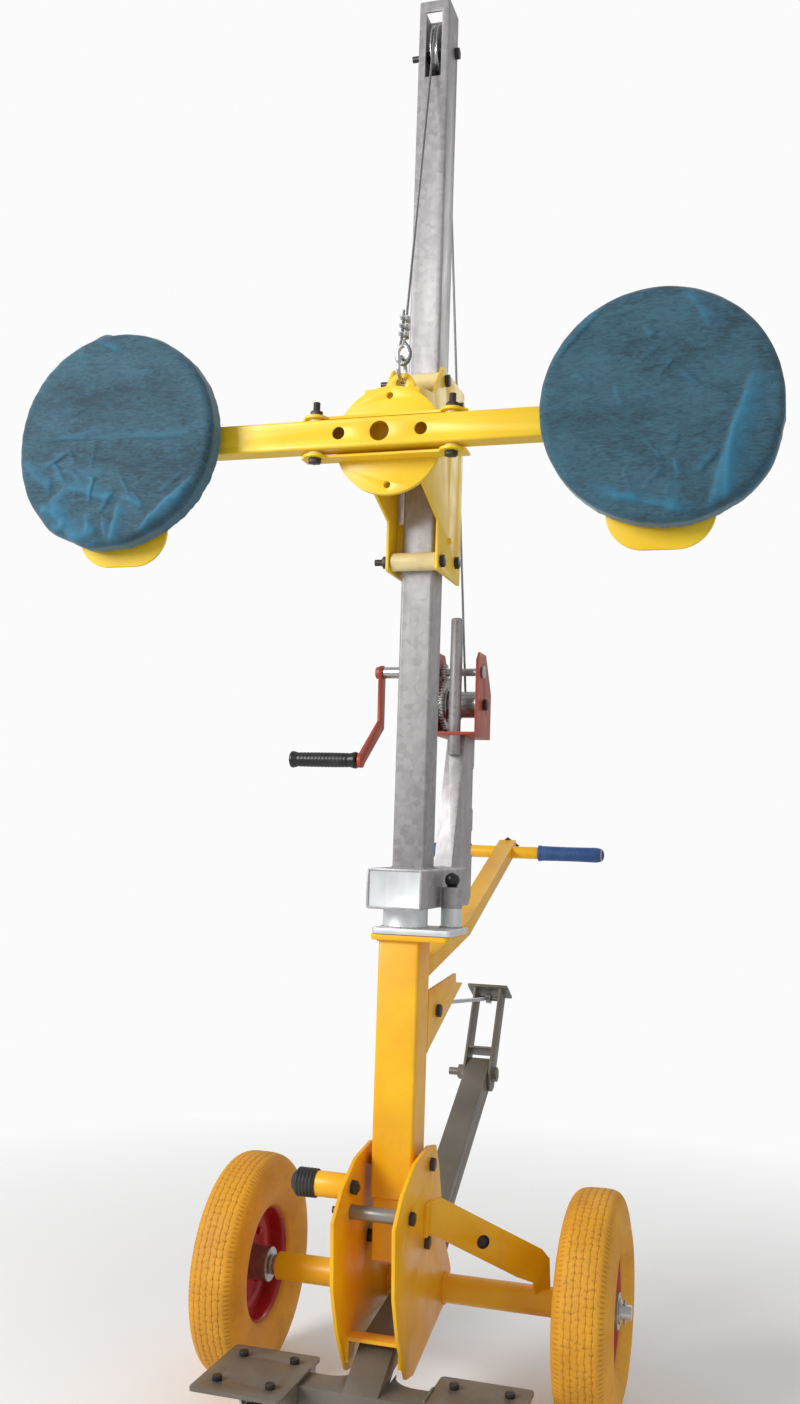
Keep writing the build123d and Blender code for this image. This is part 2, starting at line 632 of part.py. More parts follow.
# ---- bolts of the slewing mast ----
with BuildPart() as mast_bolts:
    bolt_x(sheave_y, sheave_z, 2 * sheave_bolt_r, mast_half, -mast_half)
    for side in (-1, 1):
        spacer_in, spacer_out = side * (sheave_half + 0.5), side * (mast_half - tube_wall)
        round_bar((spacer_in, sheave_y, sheave_z), (spacer_out, sheave_y, sheave_z), 10)
    bolt_x(drum_y, drum_z, 2 * drum_bolt_r, winch_half, -winch_half)
mast_bolts.part.label = "mast_bolts"
export_step(mast_bolts.part, "parts/mast_bolts.step")

# ---- carriage that rolls on the mast ----
roller_r = roller_diameter / 2
front_roller_y = mast_front - roller_r - roller_gap
rear_roller_y = mast_rear + roller_r + roller_gap
roller_half = carriage_inner - 1
roller_bolt_r = 6
roller_places = {
    "front_upper_roller": (front_roller_y, 1848),
    "front_lower_roller": (front_roller_y, 1512),
    "rear_upper_roller": (rear_roller_y, 1830),
    "rear_lower_roller": (rear_roller_y, 1530),
}
for name, (y, z) in roller_places.items():
    with BuildPart() as roller:
        round_bar((-roller_half, y, z), (roller_half, y, z), roller_r)
        chamfer(roller.edges().filter_by(GeomType.CIRCLE), length=1.5)
        round_bar((-50, y, z), (50, y, z), roller_bolt_r + running_gap, Mode.SUBTRACT)
    roller.part.label = name
    export_step(roller.part, f"parts/{name}.step")

face_front = head_y - axle_y + 11  # the face plate stands just behind the turntable
side_outline = [
    (-18, 1492), (-18, 1868), (-178, 1868), (-232, 1800), (face_front + 8, 1780),
    (face_front + 8, 1634), (-178, 1583), (-178, 1492),
]
carriage_out = carriage_inner + plate
with BuildPart() as carriage_plates:
    for low, high in ((-carriage_out, -carriage_inner), (carriage_inner, carriage_out)):
        side_plate(side_outline, (low, high), corner=6)
    for y, z in roller_places.values():
        round_bar((-60, y, z), (60, y, z), roller_bolt_r, Mode.SUBTRACT)
    for side in (-1, 1):
        for z in (1560, 1800):
            low, high = sorted((side * (mast_half + 1), side * carriage_inner))
            block((low, high), (mast_y - 20, mast_y + 20), (z - 30, z + 30))
            round_bar((side * carriage_out, mast_y, z), (side * (carriage_out + 5), mast_y, z), 6)
carriage_plates.part.label = "carriage_plates"
export_step(carriage_plates.part, "parts/carriage_plates.step")

spindle_r = 20
lug_y, lug_z = axle_y - 272, 1806
with BuildPart() as face_plate:
    front, rear = axle_y + face_front, axle_y + face_front + 8
    block((-carriage_out, carriage_out), (front, rear), (1634, 1780))
    block((-carriage_inner, carriage_inner), (rear, lug_y + 4), (1740, 1748))
    with BuildSketch(Plane.XZ.offset(-(lug_y + 4))) as lug_outline:
        with Locations((0, 1770)):
            Rectangle(50, 60)
        with Locations((0, lug_z - 6)):
            Circle(25)
        with Locations((0, lug_z)):
            Circle(9, mode=Mode.SUBTRACT)
    extrude(amount=8)
    round_bar((0, front, head_z), (0, head_y - 8, head_z), spindle_r)
face_plate.part.label = "face_plate"
export_step(face_plate.part, "parts/face_plate.step")

with BuildPart() as rope_fitting:
    lean = Vector(0, rope_end_y - front_y, rope_end_z - front_z).normalized()
    top = Vector(0, rope_end_y, rope_end_z)
    neck = top + lean * 62
    round_bar(tuple(top), tuple(neck), cable_radius)
    for step in (4, 20, 36):
        clip = top + lean * step
        round_bar(tuple(clip), tuple(clip + lean * 9), 8)
    eye_z = neck.Z - 15
    with BuildSketch(Plane(origin=(0, neck.Y, eye_z), x_dir=(1, 0, 0), z_dir=(0, -1, 0))) as thimble:
        Ellipse(13, 19)
        Ellipse(8, 14, mode=Mode.SUBTRACT)
    extrude(amount=4, both=True)
    with Locations(Location((0, lug_y, (eye_z + lug_z) / 2 - 2), (0, 90, 0))):
        Torus((eye_z - lug_z) / 2 - 6, 3.5)
rope_fitting.part.label = "rope_fitting"
export_step(rope_fitting.part, "parts/rope_fitting.step")

with BuildPart() as carriage_bolts:
    for y, z in roller_places.values():
        bolt_x(y, z, 2 * roller_bolt_r, carriage_out, -carriage_out)
    round_bar((0, head_y - 8, head_z), (0, head_y - 5, head_z), spindle_r + 8)
    round_bar((0, head_y - 8, head_z), (0, head_y - 5, head_z), spindle_r, Mode.SUBTRACT)
carriage_bolts.part.label = "carriage_bolts"
export_step(carriage_bolts.part, "parts/carriage_bolts.step")

# ---- turning head: turntable, bar, pads and covers ----
bar_y = head_y - 32
ear_x = 120
ledge_gap = 6
ledge = 5
guide_bolt_r = 6
bar_top, bar_bottom = head_z + bar_height / 2, head_z - bar_height / 2

with BuildPart() as turntable:
    round_bar((0, head_y + 10, head_z), (0, head_y, head_z), turntable_diameter / 2)
    for z in (bar_top + ledge_gap, bar_bottom - ledge_gap - ledge):
        with BuildSketch(Plane.XY.offset(z)) as ledge_outline:
            with Locations((0, head_y - 17)):
                Rectangle(2 * ear_x + 50, 34)
            with Locations((-ear_x, bar_y), (ear_x, bar_y)):
                Circle(20)
        extrude(amount=ledge)
        for x in (-ear_x, ear_x):
            round_bar((x, bar_y, z), (x, bar_y, z + ledge), guide_bolt_r, Mode.SUBTRACT)
    for z in (head_z + 78, head_z - 78):
        round_bar((0, head_y, z), (0, head_y + 10, z), 6, Mode.SUBTRACT)
    round_bar((0, head_y, head_z), (0, head_y + 10, head_z), spindle_r + running_gap, Mode.SUBTRACT)
turntable.part.label = "turntable"
export_step(turntable.part, "parts/turntable.step")

with BuildPart() as guide_bolts:
    for x in (-ear_x, ear_x):
        low, high = bar_bottom - ledge_gap - ledge, bar_top + ledge_gap + ledge
        round_bar((x, bar_y, low), (x, bar_y, high + 26), guide_bolt_r)
        hex_bar((x, bar_y, low - 8), (x, bar_y, low), 20)
        hex_bar((x, bar_y, high), (x, bar_y, high + 10), 20)
guide_bolts.part.label = "guide_bolts"
export_step(guide_bolts.part, "parts/guide_bolts.step")

with BuildPart() as guide_bushes:
    for x in (-ear_x, ear_x):
        for z in (bar_bottom - ledge_gap, bar_top):
            round_bar((x, bar_y, z), (x, bar_y, z + ledge_gap), 12)
            round_bar((x, bar_y, z), (x, bar_y, z + ledge_gap), guide_bolt_r, Mode.SUBTRACT)
guide_bushes.part.label = "guide_bushes"
export_step(guide_bushes.part, "parts/guide_bushes.step")

bar_front, bar_rear = bar_y - bar_depth / 2, bar_y + bar_depth / 2
with BuildPart() as crossbar:
    with BuildSketch(Plane.YZ.offset(-bar_half)):
        with Locations((bar_y, head_z)):
            RectangleRounded(bar_depth, bar_height, 4)
            RectangleRounded(bar_depth - 6, bar_height - 6, 1, mode=Mode.SUBTRACT)
    extrude(amount=2 * bar_half)
    for x, radius in ((0, 17), (-72, 11), (72, 11)):
        round_bar((x, bar_front - 1, head_z), (x, bar_front + 10, head_z), radius, Mode.SUBTRACT)
    for x in (-ear_x, ear_x):
        round_bar((x, bar_y, bar_bottom), (x, bar_y, bar_top), guide_bolt_r + 0.5, Mode.SUBTRACT)
crossbar.part.label = "crossbar"
export_step(crossbar.part, "parts/crossbar.step")

frame_front = bar_front - 6
pump_x, pump_z = pad_x, head_z + 112
pump_rod_r = 8
pump_length = 46
pad_frame_height = cover_diameter + 44
pad_frame_shift = -12
with BuildPart() as pad_frames:
    with BuildSketch(Plane.XZ.offset(-bar_front)):
        with Locations((-pad_x, head_z + pad_frame_shift), (pad_x, head_z + pad_frame_shift)):
            RectangleRounded(170, pad_frame_height, 60)
    extrude(amount=6)
    for side in (-1, 1):
        x = side * pump_x
        round_bar((x, bar_front, pump_z), (x, bar_front + pump_length, pump_z), 17)
        round_bar((x, bar_front + 4, pump_z), (x, bar_front + 47, pump_z), pump_rod_r + running_gap, Mode.SUBTRACT)
pad_frames.part.label = "pad_frames"
export_step(pad_frames.part, "parts/pad_frames.step")

cover_rear = frame_front - 3
cover_front = cover_rear - cover_depth
cover_r = cover_diameter / 2
skin = 3.5
pad_r = cover_r - skin - 4
with BuildPart() as suction_pads:
    for side in (-1, 1):
        round_bar((side * pad_x, frame_front, head_z), (side * pad_x, frame_front - 14, head_z), 140)
        rubber_rear, rubber_front = frame_front - 14, cover_front + skin + 3
        round_bar((side * pad_x, rubber_rear, head_z), (side * pad_x, rubber_front, head_z), pad_r)
suction_pads.part.label = "suction_pads"
export_step(suction_pads.part, "parts/suction_pads.step")

for side_name, side in (("left", -1), ("right", 1)):
    with BuildPart() as cover:
        x = side * pad_x
        round_bar((x, cover_rear, head_z), (x, cover_front, head_z), cover_r)
        fillet(cover.edges().filter_by(GeomType.CIRCLE).sort_by(Axis.Y)[0], radius=17)
        fillet(cover.edges().filter_by(GeomType.CIRCLE).sort_by(Axis.Y)[-1], radius=8)
        round_bar((x, cover_rear - skin, head_z), (x, cover_front + skin + 1, head_z), cover_r - skin, Mode.SUBTRACT)
        round_bar((x, cover_rear + 1, head_z), (x, cover_rear - 9, head_z), 150, Mode.SUBTRACT)
    cover.part.label = f"{side_name}_cover"
    export_step(cover.part, f"parts/{side_name}_cover.step")

    with BuildPart() as pump:
        x = side * pump_x
        pump_out = bar_front + pump_length
        round_bar((x, bar_front + 16, pump_z), (x, pump_out + 15, pump_z), pump_rod_r)
        round_bar((x, pump_out + 15, pump_z), (x, pump_out + 29, pump_z), 13)
    pump.part.label = f"{side_name}_pump"
    export_step(pump.part, f"parts/{side_name}_pump.step")

# ---- push handle ----
arm_half = 20
handle_y, handle_z = axle_y + 668, 985
handle_r = 14
handle_half = 232
grip_in = 82
arm_outline = [(-107.5, 750), (260, 816), (712, 986), (701, 1014), (254, 847), (-107.5, 781)]
with BuildPart() as handle_arm:
    side_plate(arm_outline, (-arm_half, arm_half))
    hollow = [(-104, 754), (260, 820), (708, 988), (699, 1010), (254, 843), (-104, 778)]
    side_plate(hollow, (3 - arm_half, arm_half - 3), Mode.SUBTRACT)
    round_bar((-arm_half, handle_y, handle_z), (arm_half, handle_y, handle_z), handle_r, Mode.SUBTRACT)
handle_arm.part.label = "handle_arm"
export_step(handle_arm.part, "parts/handle_arm.step")

with BuildPart() as handle_bar:
    round_bar((-handle_half, handle_y, handle_z), (handle_half, handle_y, handle_z), handle_r)
handle_bar.part.label = "handle_bar"
export_step(handle_bar.part, "parts/handle_bar.step")

with BuildPart() as handle_grips:
    for side in (-1, 1):
        grip_end = handle_half + 4
        round_bar((side * grip_in, handle_y, handle_z), (side * grip_end, handle_y, handle_z), 18)
    fillet(handle_grips.edges().filter_by(GeomType.CIRCLE), radius=4)
    for side in (-1, 1):
        start, end = side * (grip_in - 1), side * handle_half
        round_bar((start, handle_y, handle_z), (end, handle_y, handle_z), handle_r, Mode.SUBTRACT)
handle_grips.part.label = "handle_grips"
export_step(handle_grips.part, "parts/handle_grips.step")

# ---- brace, foot peg and stop rod ----
brace_run = (190, 133)
brace_start = (cheek_out, axle_y - 133)
with BuildPart() as brace:
    brace_plane = Plane(origin=(*brace_start, 0), x_dir=(*brace_run, 0), z_dir=(brace_run[1], -brace_run[0], 0))
    with BuildSketch(brace_plane):
        with BuildLine():
            Polyline((3, 332), (3, 386), (20, 392), (216, 292), (230, 276), (234, 205), (205, 205), (200, 236),
                     (168, 248), close=True)
        make_face()
        with Locations((102, 312)):
            Circle(12, mode=Mode.SUBTRACT)
    extrude(amount=5)
    block((cheek_out, cheek_out + 6), (axle_y - 162, axle_y - 124), (332, 386))
    round_bar((0, axle_y, axle_z), (300, axle_y, axle_z), axle_tube_diameter / 2, Mode.SUBTRACT)
brace.part.label = "brace"
export_step(brace.part, "parts/brace.step")

peg_r = 21
peg_end = -122
with BuildPart() as foot_peg:
    round_bar((-cheek_out, peg_y, peg_z), (peg_end, peg_y, peg_z), peg_r)
foot_peg.part.label = "foot_peg"
export_step(foot_peg.part, "parts/foot_peg.step")

with BuildPart() as foot_peg_cap:
    round_bar((peg_end + 12, peg_y, peg_z), (peg_end - 34, peg_y, peg_z), peg_r + 3)
    fillet(foot_peg_cap.edges().filter_by(GeomType.CIRCLE).sort_by(Axis.X)[0], radius=12)
    round_bar((peg_end + 13, peg_y, peg_z), (peg_end, peg_y, peg_z), peg_r, Mode.SUBTRACT)
foot_peg_cap.part.label = "foot_peg_cap"
export_step(foot_peg_cap.part, "parts/foot_peg_cap.step")

with BuildPart() as base_bolts:
    round_bar((-cheek_in, rod_y, rod_z), (cheek_in, rod_y, rod_z), 12)
    bolt_x(rod_y, rod_z, 12, cheek_out, -cheek_out)
    bolt_x(column_bolt_y, column_bolt_z, 12, cheek_out, -cheek_out)
    bolt_x(column_y, foot_bolt_z, 12, cheek_out, -cheek_out)
    bolt_x(gusset_bolt_y, gusset_bolt_z, 12, column_half, -column_half)
    bolt_x(*leg_pivot, 2 * leg_pin_r, ear_out, -ear_out)
    for side in (-1, 1):
        for y, z, inner in ((column_bolt_y, column_bolt_z, column_half), (column_y, foot_bolt_z, foot_half)):
            round_bar((side * inner, y, z), (side * cheek_in, y, z), 11)
    round_bar((-cheek_out, peg_y, peg_z), (2 - column_half, peg_y, peg_z), 6)
    hex_bar((-cheek_in, peg_y, peg_z), (10 - cheek_in, peg_y, peg_z), 21)
    with Locations(*[(x, y, shelf_top) for x, y in caster_places]):
        with GridLocations(2 * shelf_bolt_x, 2 * shelf_bolt_y, 2, 2):
            Cylinder(5, 20, align=(Align.CENTER, Align.CENTER, Align.MAX))
            Cylinder(8, 8, align=(Align.CENTER, Align.CENTER, Align.MIN))
    with Locations(*[(x, y, caster_height - 14) for x, y in caster_places]):
        with GridLocations(2 * shelf_bolt_x, 2 * shelf_bolt_y, 2, 2):
            Cylinder(8, 8, align=(Align.CENTER, Align.CENTER, Align.MIN))
base_bolts.part.label = "base_bolts"
export_step(base_bolts.part, "parts/base_bolts.step")

# ---- folding rear leg ----
foot_pivot = (
    leg_pivot[0] + leg_length * math.cos(math.radians(leg_angle)),
    leg_pivot[1] + leg_length * math.sin(math.radians(leg_angle)),
)


def leg_plane(pivot, angle, x):
    """A plane across X at a pivot, with its own x axis tilted up from +Y."""
    run_out = (0, math.cos(math.radians(angle)), math.sin(math.radians(angle)))
    return Plane(origin=(x, *pivot), x_dir=run_out, z_dir=(1, 0, 0))


with BuildPart() as leg_tube:
    with BuildSketch(leg_plane(leg_pivot, leg_angle, -leg_size / 2)):
        Circle(leg_size / 2)
        Rectangle(leg_length + 20, leg_size, align=(Align.MIN, Align.CENTER))
    extrude(amount=leg_size)
    with BuildSketch(leg_plane(leg_pivot, leg_angle, 3 - leg_size / 2)):
        with Locations((30, 0)):
            Rectangle(leg_length, leg_size - 6, align=(Align.MIN, Align.CENTER))
    extrude(amount=leg_size - 6, mode=Mode.SUBTRACT)
    for pivot in (leg_pivot, foot_pivot):
        round_bar((-30, *pivot), (30, *pivot), leg_pin_r + running_gap, Mode.SUBTRACT)
leg_tube.part.label = "leg_tube"
export_step(leg_tube.part, "parts/leg_tube.step")

foot_length = 187
hook_reach = 172
hook_r = 5
hook_point = (
    foot_pivot[0] + hook_reach * math.cos(math.radians(foot_angle)),
    foot_pivot[1] + hook_reach * math.sin(math.radians(foot_angle)),
)
with BuildPart() as leg_foot:
    for x in (-ear_out, ear_in):
        with BuildSketch(leg_plane(foot_pivot, foot_angle, x)):
            Rectangle(foot_length, 54, align=(Align.MIN, Align.CENTER))
            with Locations((-8, 0)):
                Circle(29)
        extrude(amount=ear_out - ear_in)
    with BuildSketch(leg_plane(foot_pivot, foot_angle, -45)):
        with Locations((foot_length, 0)):
            Rectangle(6, 62, align=(Align.MIN, Align.CENTER))
    extrude(amount=90)
    with BuildSketch(leg_plane(foot_pivot, foot_angle, -ear_in)):
        with Locations((48, 0)):
            Rectangle(4, 50, align=(Align.MIN, Align.CENTER))
    extrude(amount=2 * ear_in)
    round_bar((-ear_in, *hook_point), (ear_in, *hook_point), hook_r)
    bolt_x(*foot_pivot, 2 * leg_pin_r, ear_out, -ear_out)
leg_foot.part.label = "leg_foot"
export_step(leg_foot.part, "parts/leg_foot.step")

with BuildPart() as stay_rod:
    rod_front = (axle_y + 60, 698)
    round_bar((-5, *hook_point), (5, *hook_point), 11)
    round_bar((0, *hook_point), (0, *rod_front), 4)
    round_bar((0, *rod_front), (0, rod_front[0], rod_front[1] - 22), 4)
    with Locations((0, *rod_front)):
        Sphere(4)
    round_bar((-6, *hook_point), (6, *hook_point), hook_r + running_gap, Mode.SUBTRACT)
stay_rod.part.label = "stay_rod"
export_step(stay_rod.part, "parts/stay_rod.step")
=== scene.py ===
import json
import math

import bmesh
import bpy
import numpy as np
from mathutils import Matrix, Vector


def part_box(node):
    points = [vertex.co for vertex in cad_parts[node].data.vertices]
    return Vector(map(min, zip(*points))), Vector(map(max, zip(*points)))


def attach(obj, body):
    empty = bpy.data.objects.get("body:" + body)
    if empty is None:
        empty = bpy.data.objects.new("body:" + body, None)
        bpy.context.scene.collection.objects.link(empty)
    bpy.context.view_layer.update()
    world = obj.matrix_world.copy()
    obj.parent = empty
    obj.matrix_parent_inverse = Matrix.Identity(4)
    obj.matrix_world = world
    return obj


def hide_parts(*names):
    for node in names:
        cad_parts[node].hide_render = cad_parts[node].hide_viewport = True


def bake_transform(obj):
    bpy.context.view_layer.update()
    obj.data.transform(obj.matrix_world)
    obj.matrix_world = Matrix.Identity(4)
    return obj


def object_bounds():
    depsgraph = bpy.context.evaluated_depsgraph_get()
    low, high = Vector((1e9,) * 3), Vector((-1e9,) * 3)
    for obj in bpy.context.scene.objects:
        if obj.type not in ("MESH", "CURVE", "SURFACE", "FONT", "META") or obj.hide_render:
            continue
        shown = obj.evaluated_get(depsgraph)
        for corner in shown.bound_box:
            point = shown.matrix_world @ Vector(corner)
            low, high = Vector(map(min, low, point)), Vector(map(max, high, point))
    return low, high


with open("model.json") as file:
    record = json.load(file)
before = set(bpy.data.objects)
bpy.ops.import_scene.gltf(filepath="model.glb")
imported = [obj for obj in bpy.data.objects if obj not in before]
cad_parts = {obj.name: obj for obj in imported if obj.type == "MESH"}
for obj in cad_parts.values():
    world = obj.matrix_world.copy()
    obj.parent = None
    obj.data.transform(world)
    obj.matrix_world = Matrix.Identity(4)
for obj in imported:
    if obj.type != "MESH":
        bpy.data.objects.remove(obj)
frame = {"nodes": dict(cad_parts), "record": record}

cad_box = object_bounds()

# %% [markdown]
# # A panel lift trolley
# The lift stands on two foam tyres and two casters. A yellow column carries a mast that can slew, a hand
# winch pulls a carriage up the mast, and the carriage holds a bar with two suction pads under cloth covers.
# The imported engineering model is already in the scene, in metres, and fixes every size and place. This
# lesson gives it its looks: softened edges, paint, zinc, rope, rubber and cloth.

# %% Read the frame
nodes = frame["nodes"]
body_of_node = {n: body for body, names in frame["record"]["behaviour"]["bodies"].items() for n in names}
low, high = cad_box
print("the lift is", [round(v, 3) for v in high - low], "m across, deep and high, with", len(nodes), "parts")

# %% [markdown]
# ## The camera and the studio
# The lift is seen from a little right of its front, from about waist height, so the lens looks slightly up
# and the tall mast leans with the perspective. A camera could be aimed with a constraint at a target, but
# three turns in order say more plainly what a photographer does: pan, tilt, and a small roll.

# %% Place the camera
camera_place = (0.669, -2.536, 1.015)
camera_pan, camera_tilt, camera_roll = 0.2973, 0.1019, 0.0325  # radians: to the left, up, clockwise
lens_length = 33.56  # millimetres on a 36 mm sensor


def shown(name, data):
    """Puts a mesh, a lamp or a camera into the scene as an object."""
    piece = bpy.data.objects.new(name, data)
    bpy.context.scene.collection.objects.link(piece)
    return piece


camera = shown("camera", bpy.data.cameras.new("camera"))
camera.data.lens = lens_length
camera.data.clip_start = 0.05
camera.matrix_world = (
    Matrix.Translation(camera_place)
    @ Matrix.Rotation(camera_pan, 4, "Z")
    @ Matrix.Rotation(math.pi / 2 + camera_tilt, 4, "X")
    @ Matrix.Rotation(camera_roll, 4, "Z")
)
bpy.context.scene.camera = camera
camera_distance = (Vector(camera_place) - (low + high) / 2).length
print("camera is", round(camera_distance, 2), "m from the middle of the lift")

# %% [markdown]
# A product on a pale floor needs broad, soft light, so that round tubes get long gentle highlights. A strong
# lamp high at the front left gives the shapes a bright side and a dark side, a weak one fills from the
# right, and a third from behind draws the edges. The world's own light keeps the shadows open. It looks
# brighter to the camera than to the lift, so the backdrop is white and the shaded sides stay dark.

# %% Light the studio
def soft_lamp(name, place, aim, size, power):
    """A square area lamp that looks from its place towards a point."""
    lamp = bpy.data.lights.new(name, "AREA")
    lamp.size, lamp.energy = size, power
    holder = shown(name, lamp)
    holder.location = place
    holder.rotation_euler = (Vector(aim) - Vector(place)).to_track_quat("-Z", "Y").to_euler()
    return holder


middle_of_lift = (0, 0, 1.3)
soft_lamp("key_lamp", (-2.6, -3.4, 2.6), middle_of_lift, 1.8, 150)
soft_lamp("fill_lamp", (3.4, -2.2, 1.8), middle_of_lift, 2.5, 8)
soft_lamp("edge_lamp", (0.6, 3.6, 3.4), middle_of_lift, 2.0, 20)

world = bpy.data.worlds.new("studio")
world.use_nodes = True
background = world.node_tree.nodes["Background"]
background.inputs["Color"].default_value = (1.0, 1.0, 1.0, 1)
seen_directly = world.node_tree.nodes.new("ShaderNodeLightPath")
brightness = world.node_tree.nodes.new("ShaderNodeMapRange")
brightness.inputs["To Min"].default_value = 0.5  # as light on the lift
brightness.inputs["To Max"].default_value = 0.97  # as the white behind it
world.node_tree.links.new(seen_directly.outputs["Is Camera Ray"], brightness.inputs["Value"])
world.node_tree.links.new(brightness.outputs["Result"], background.inputs["Strength"])
bpy.context.scene.world = world
bpy.context.scene.view_settings.view_transform = "Standard"
print("three lamps and a white world")

# %% [markdown]
# ## A small kit for materials
# Every finish starts from one Principled shader. Numbers that are the same all over the surface go straight
# on the shader's own sockets. What varies comes from textures that read Object coordinates, which are
# metres here, so a noise with a scale of 500 has grains about 2 mm across.

# %% Helpers for materials
def new_finish(name, colour, **numbers):
    """A material with one Principled shader. Underscores in the numbers' names stand for spaces."""
    finish = bpy.data.materials.new(name)
    finish.use_nodes = True
    shader = finish.node_tree.nodes["Principled BSDF"]
    shader.inputs["Base Color"].default_value = (*colour, 1)
    for socket, value in numbers.items():
        shader.inputs[socket.replace("_", " ")].default_value = value
    return finish, shader


def add(finish, kind, **settings):
    """A new shader node of the material, with its settings."""
    node = finish.node_tree.nodes.new("ShaderNode" + kind)
    for name, value in settings.items():
        setattr(node, name, value)
    return node


def join(finish, source, target):
    """A wire from an output to an input."""
    finish.node_tree.links.new(source, target)


def surface_place(finish, stretch=(1, 1, 1), shift=(0, 0, 0)):
    """Object coordinates, stretched so that a pattern can run along one direction."""
    place, mapping = add(finish, "TexCoord"), add(finish, "Mapping")
    mapping.inputs["Scale"].default_value = stretch
    mapping.inputs["Location"].default_value = shift
    join(finish, place.outputs["Object"], mapping.inputs["Vector"])
    return mapping.outputs["Vector"]


def noise(finish, place, scale, detail=3.0, distortion=0.0):
    """Cloudy values round 0.5 in grains of about 1 / scale metres."""
    texture = add(finish, "TexNoise")
    texture.inputs["Scale"].default_value = scale
    texture.inputs["Detail"].default_value = detail
    texture.inputs["Distortion"].default_value = distortion
    join(finish, place, texture.inputs["Vector"])
    return texture.outputs["Fac"]


def cells(finish, place, scale, feature="F1", output="Distance"):
    """Crystals or dots of about 1 / scale metres, as a distance or a random colour."""
    texture = add(finish, "TexVoronoi", feature=feature)
    texture.inputs["Scale"].default_value = scale
    join(finish, place, texture.inputs["Vector"])
    return texture.outputs[output]


def spread(finish, value, low_in, high_in, low_out=0.0, high_out=1.0):
    """Stretches a value from one range to another and stops at the ends."""
    span = add(finish, "MapRange")
    limits = (("From Min", low_in), ("From Max", high_in), ("To Min", low_out), ("To Max", high_out))
    for name, number in limits:
        span.inputs[name].default_value = number
    join(finish, value, span.inputs["Value"])
    return span.outputs["Result"]


def combine(finish, operation, first, second):
    """Math on two values; either may be a plain number."""
    sum_node = add(finish, "Math", operation=operation)
    for socket, value in zip(sum_node.inputs, (first, second)):
        if isinstance(value, (int, float)):
            socket.default_value = value
        else:
            join(finish, value, socket)
    return sum_node.outputs["Value"]


def two_colours(finish, amount, first, second):
    """The first colour where amount is 0, the second where it is 1. A colour may be another node's output."""
    mix = add(finish, "Mix", data_type="RGBA")
    join(finish, amount, mix.inputs["Factor"])
    for socket, colour in ((mix.inputs[6], first), (mix.inputs[7], second)):
        if isinstance(colour, tuple):
            socket.default_value = (*colour, 1)
        else:
            join(finish, colour, socket)
    return mix.outputs[2]


def raise_surface(finish, shader, height, depth, strength=1.0):
    """Bump from a height of 0 to 1 that stands for depth metres."""
    bump = add(finish, "Bump")
    bump.inputs["Strength"].default_value = strength
    bump.inputs["Distance"].default_value = depth
    join(finish, height, bump.inputs["Height"])
    join(finish, bump.outputs["Normal"], shader.inputs["Normal"])


def axis_values(finish):
    """X, Y and Z of the surface, in metres."""
    split = add(finish, "SeparateXYZ")
    join(finish, surface_place(finish), split.inputs["Vector"])
    return split.outputs["X"], split.outputs["Y"], split.outputs["Z"]


def distance_from_axle(finish, axle_y, axle_z):
    """How far the surface is from a line along X, in metres."""
    _, y, z = axis_values(finish)
    across = combine(finish, "SUBTRACT", y, axle_y)
    upward = combine(finish, "SUBTRACT", z, axle_z)
    squares = combine(finish, "ADD", combine(finish, "MULTIPLY", across, across),
                      combine(finish, "MULTIPLY", upward, upward))
    return combine(finish, "POWER", squares, 0.5)


print("helpers for finishes are ready")

# %% [markdown]
# ## Paint
# The trolley's own steel is sprayed in a warm golden yellow, and the lifting head in a paler lemon. Sprayed
# enamel is never flat: it has a fine orange-peel skin, slightly uneven thickness, a few dull rubbed spots
# and the odd chip that shows dark steel. A flat colour with gloss would be quicker, but it looks like
# plastic.

# %% Sprayed enamel
def enamel(name, colour, thin_colour, chip_colour=(0.09, 0.07, 0.05), chips=0.5):
    """Paint with uneven thickness, dust, a few chips and an orange-peel skin."""
    finish, shader = new_finish(name, colour, Coat_Weight=0.10, Coat_Roughness=0.2)
    place = surface_place(finish)
    thickness = spread(finish, noise(finish, place, 9.0, 4.0), 0.35, 0.7)
    coat = two_colours(finish, thickness, colour, thin_colour)
    dust = spread(finish, noise(finish, surface_place(finish, (1, 1, 0.4)), 38.0, 6.0), 0.62, 0.85, 0, 0.35)
    dusty = two_colours(finish, dust, coat, tuple(0.45 * c + 0.10 for c in thin_colour))
    chipped = combine(finish, "MULTIPLY", spread(finish, noise(finish, place, 95.0, 5.0, 1.5), 0.725, 0.74),
                      spread(finish, noise(finish, place, 6.0), 0.5, 0.56, 0, chips))
    join(finish, two_colours(finish, chipped, dusty, chip_colour), shader.inputs["Base Color"])
    gloss = spread(finish, noise(finish, place, 24.0, 5.0), 0.3, 0.75, 0.34, 0.52)
    join(finish, combine(finish, "ADD", gloss, combine(finish, "MULTIPLY", chipped, 0.3)),
         shader.inputs["Roughness"])
    skin = noise(finish, place, 420.0, 2.0)
    peel = combine(finish, "SUBTRACT", skin, combine(finish, "MULTIPLY", chipped, 1.2))
    raise_surface(finish, shader, peel, 0.00022, 0.35)
    return finish


yellow_paint = enamel("yellow_paint", (0.95, 0.52, 0.004), (0.86, 0.40, 0.003))
lemon_paint = enamel("lemon_paint", (0.97, 0.66, 0.020), (0.90, 0.56, 0.012))
base_paint = enamel("base_paint", (0.17, 0.145, 0.115), (0.11, 0.095, 0.075), (0.32, 0.30, 0.28), 0.8)
red_paint = enamel("red_paint", (0.48, 0.055, 0.018), (0.36, 0.035, 0.012), (0.12, 0.10, 0.09))
print("four enamels")

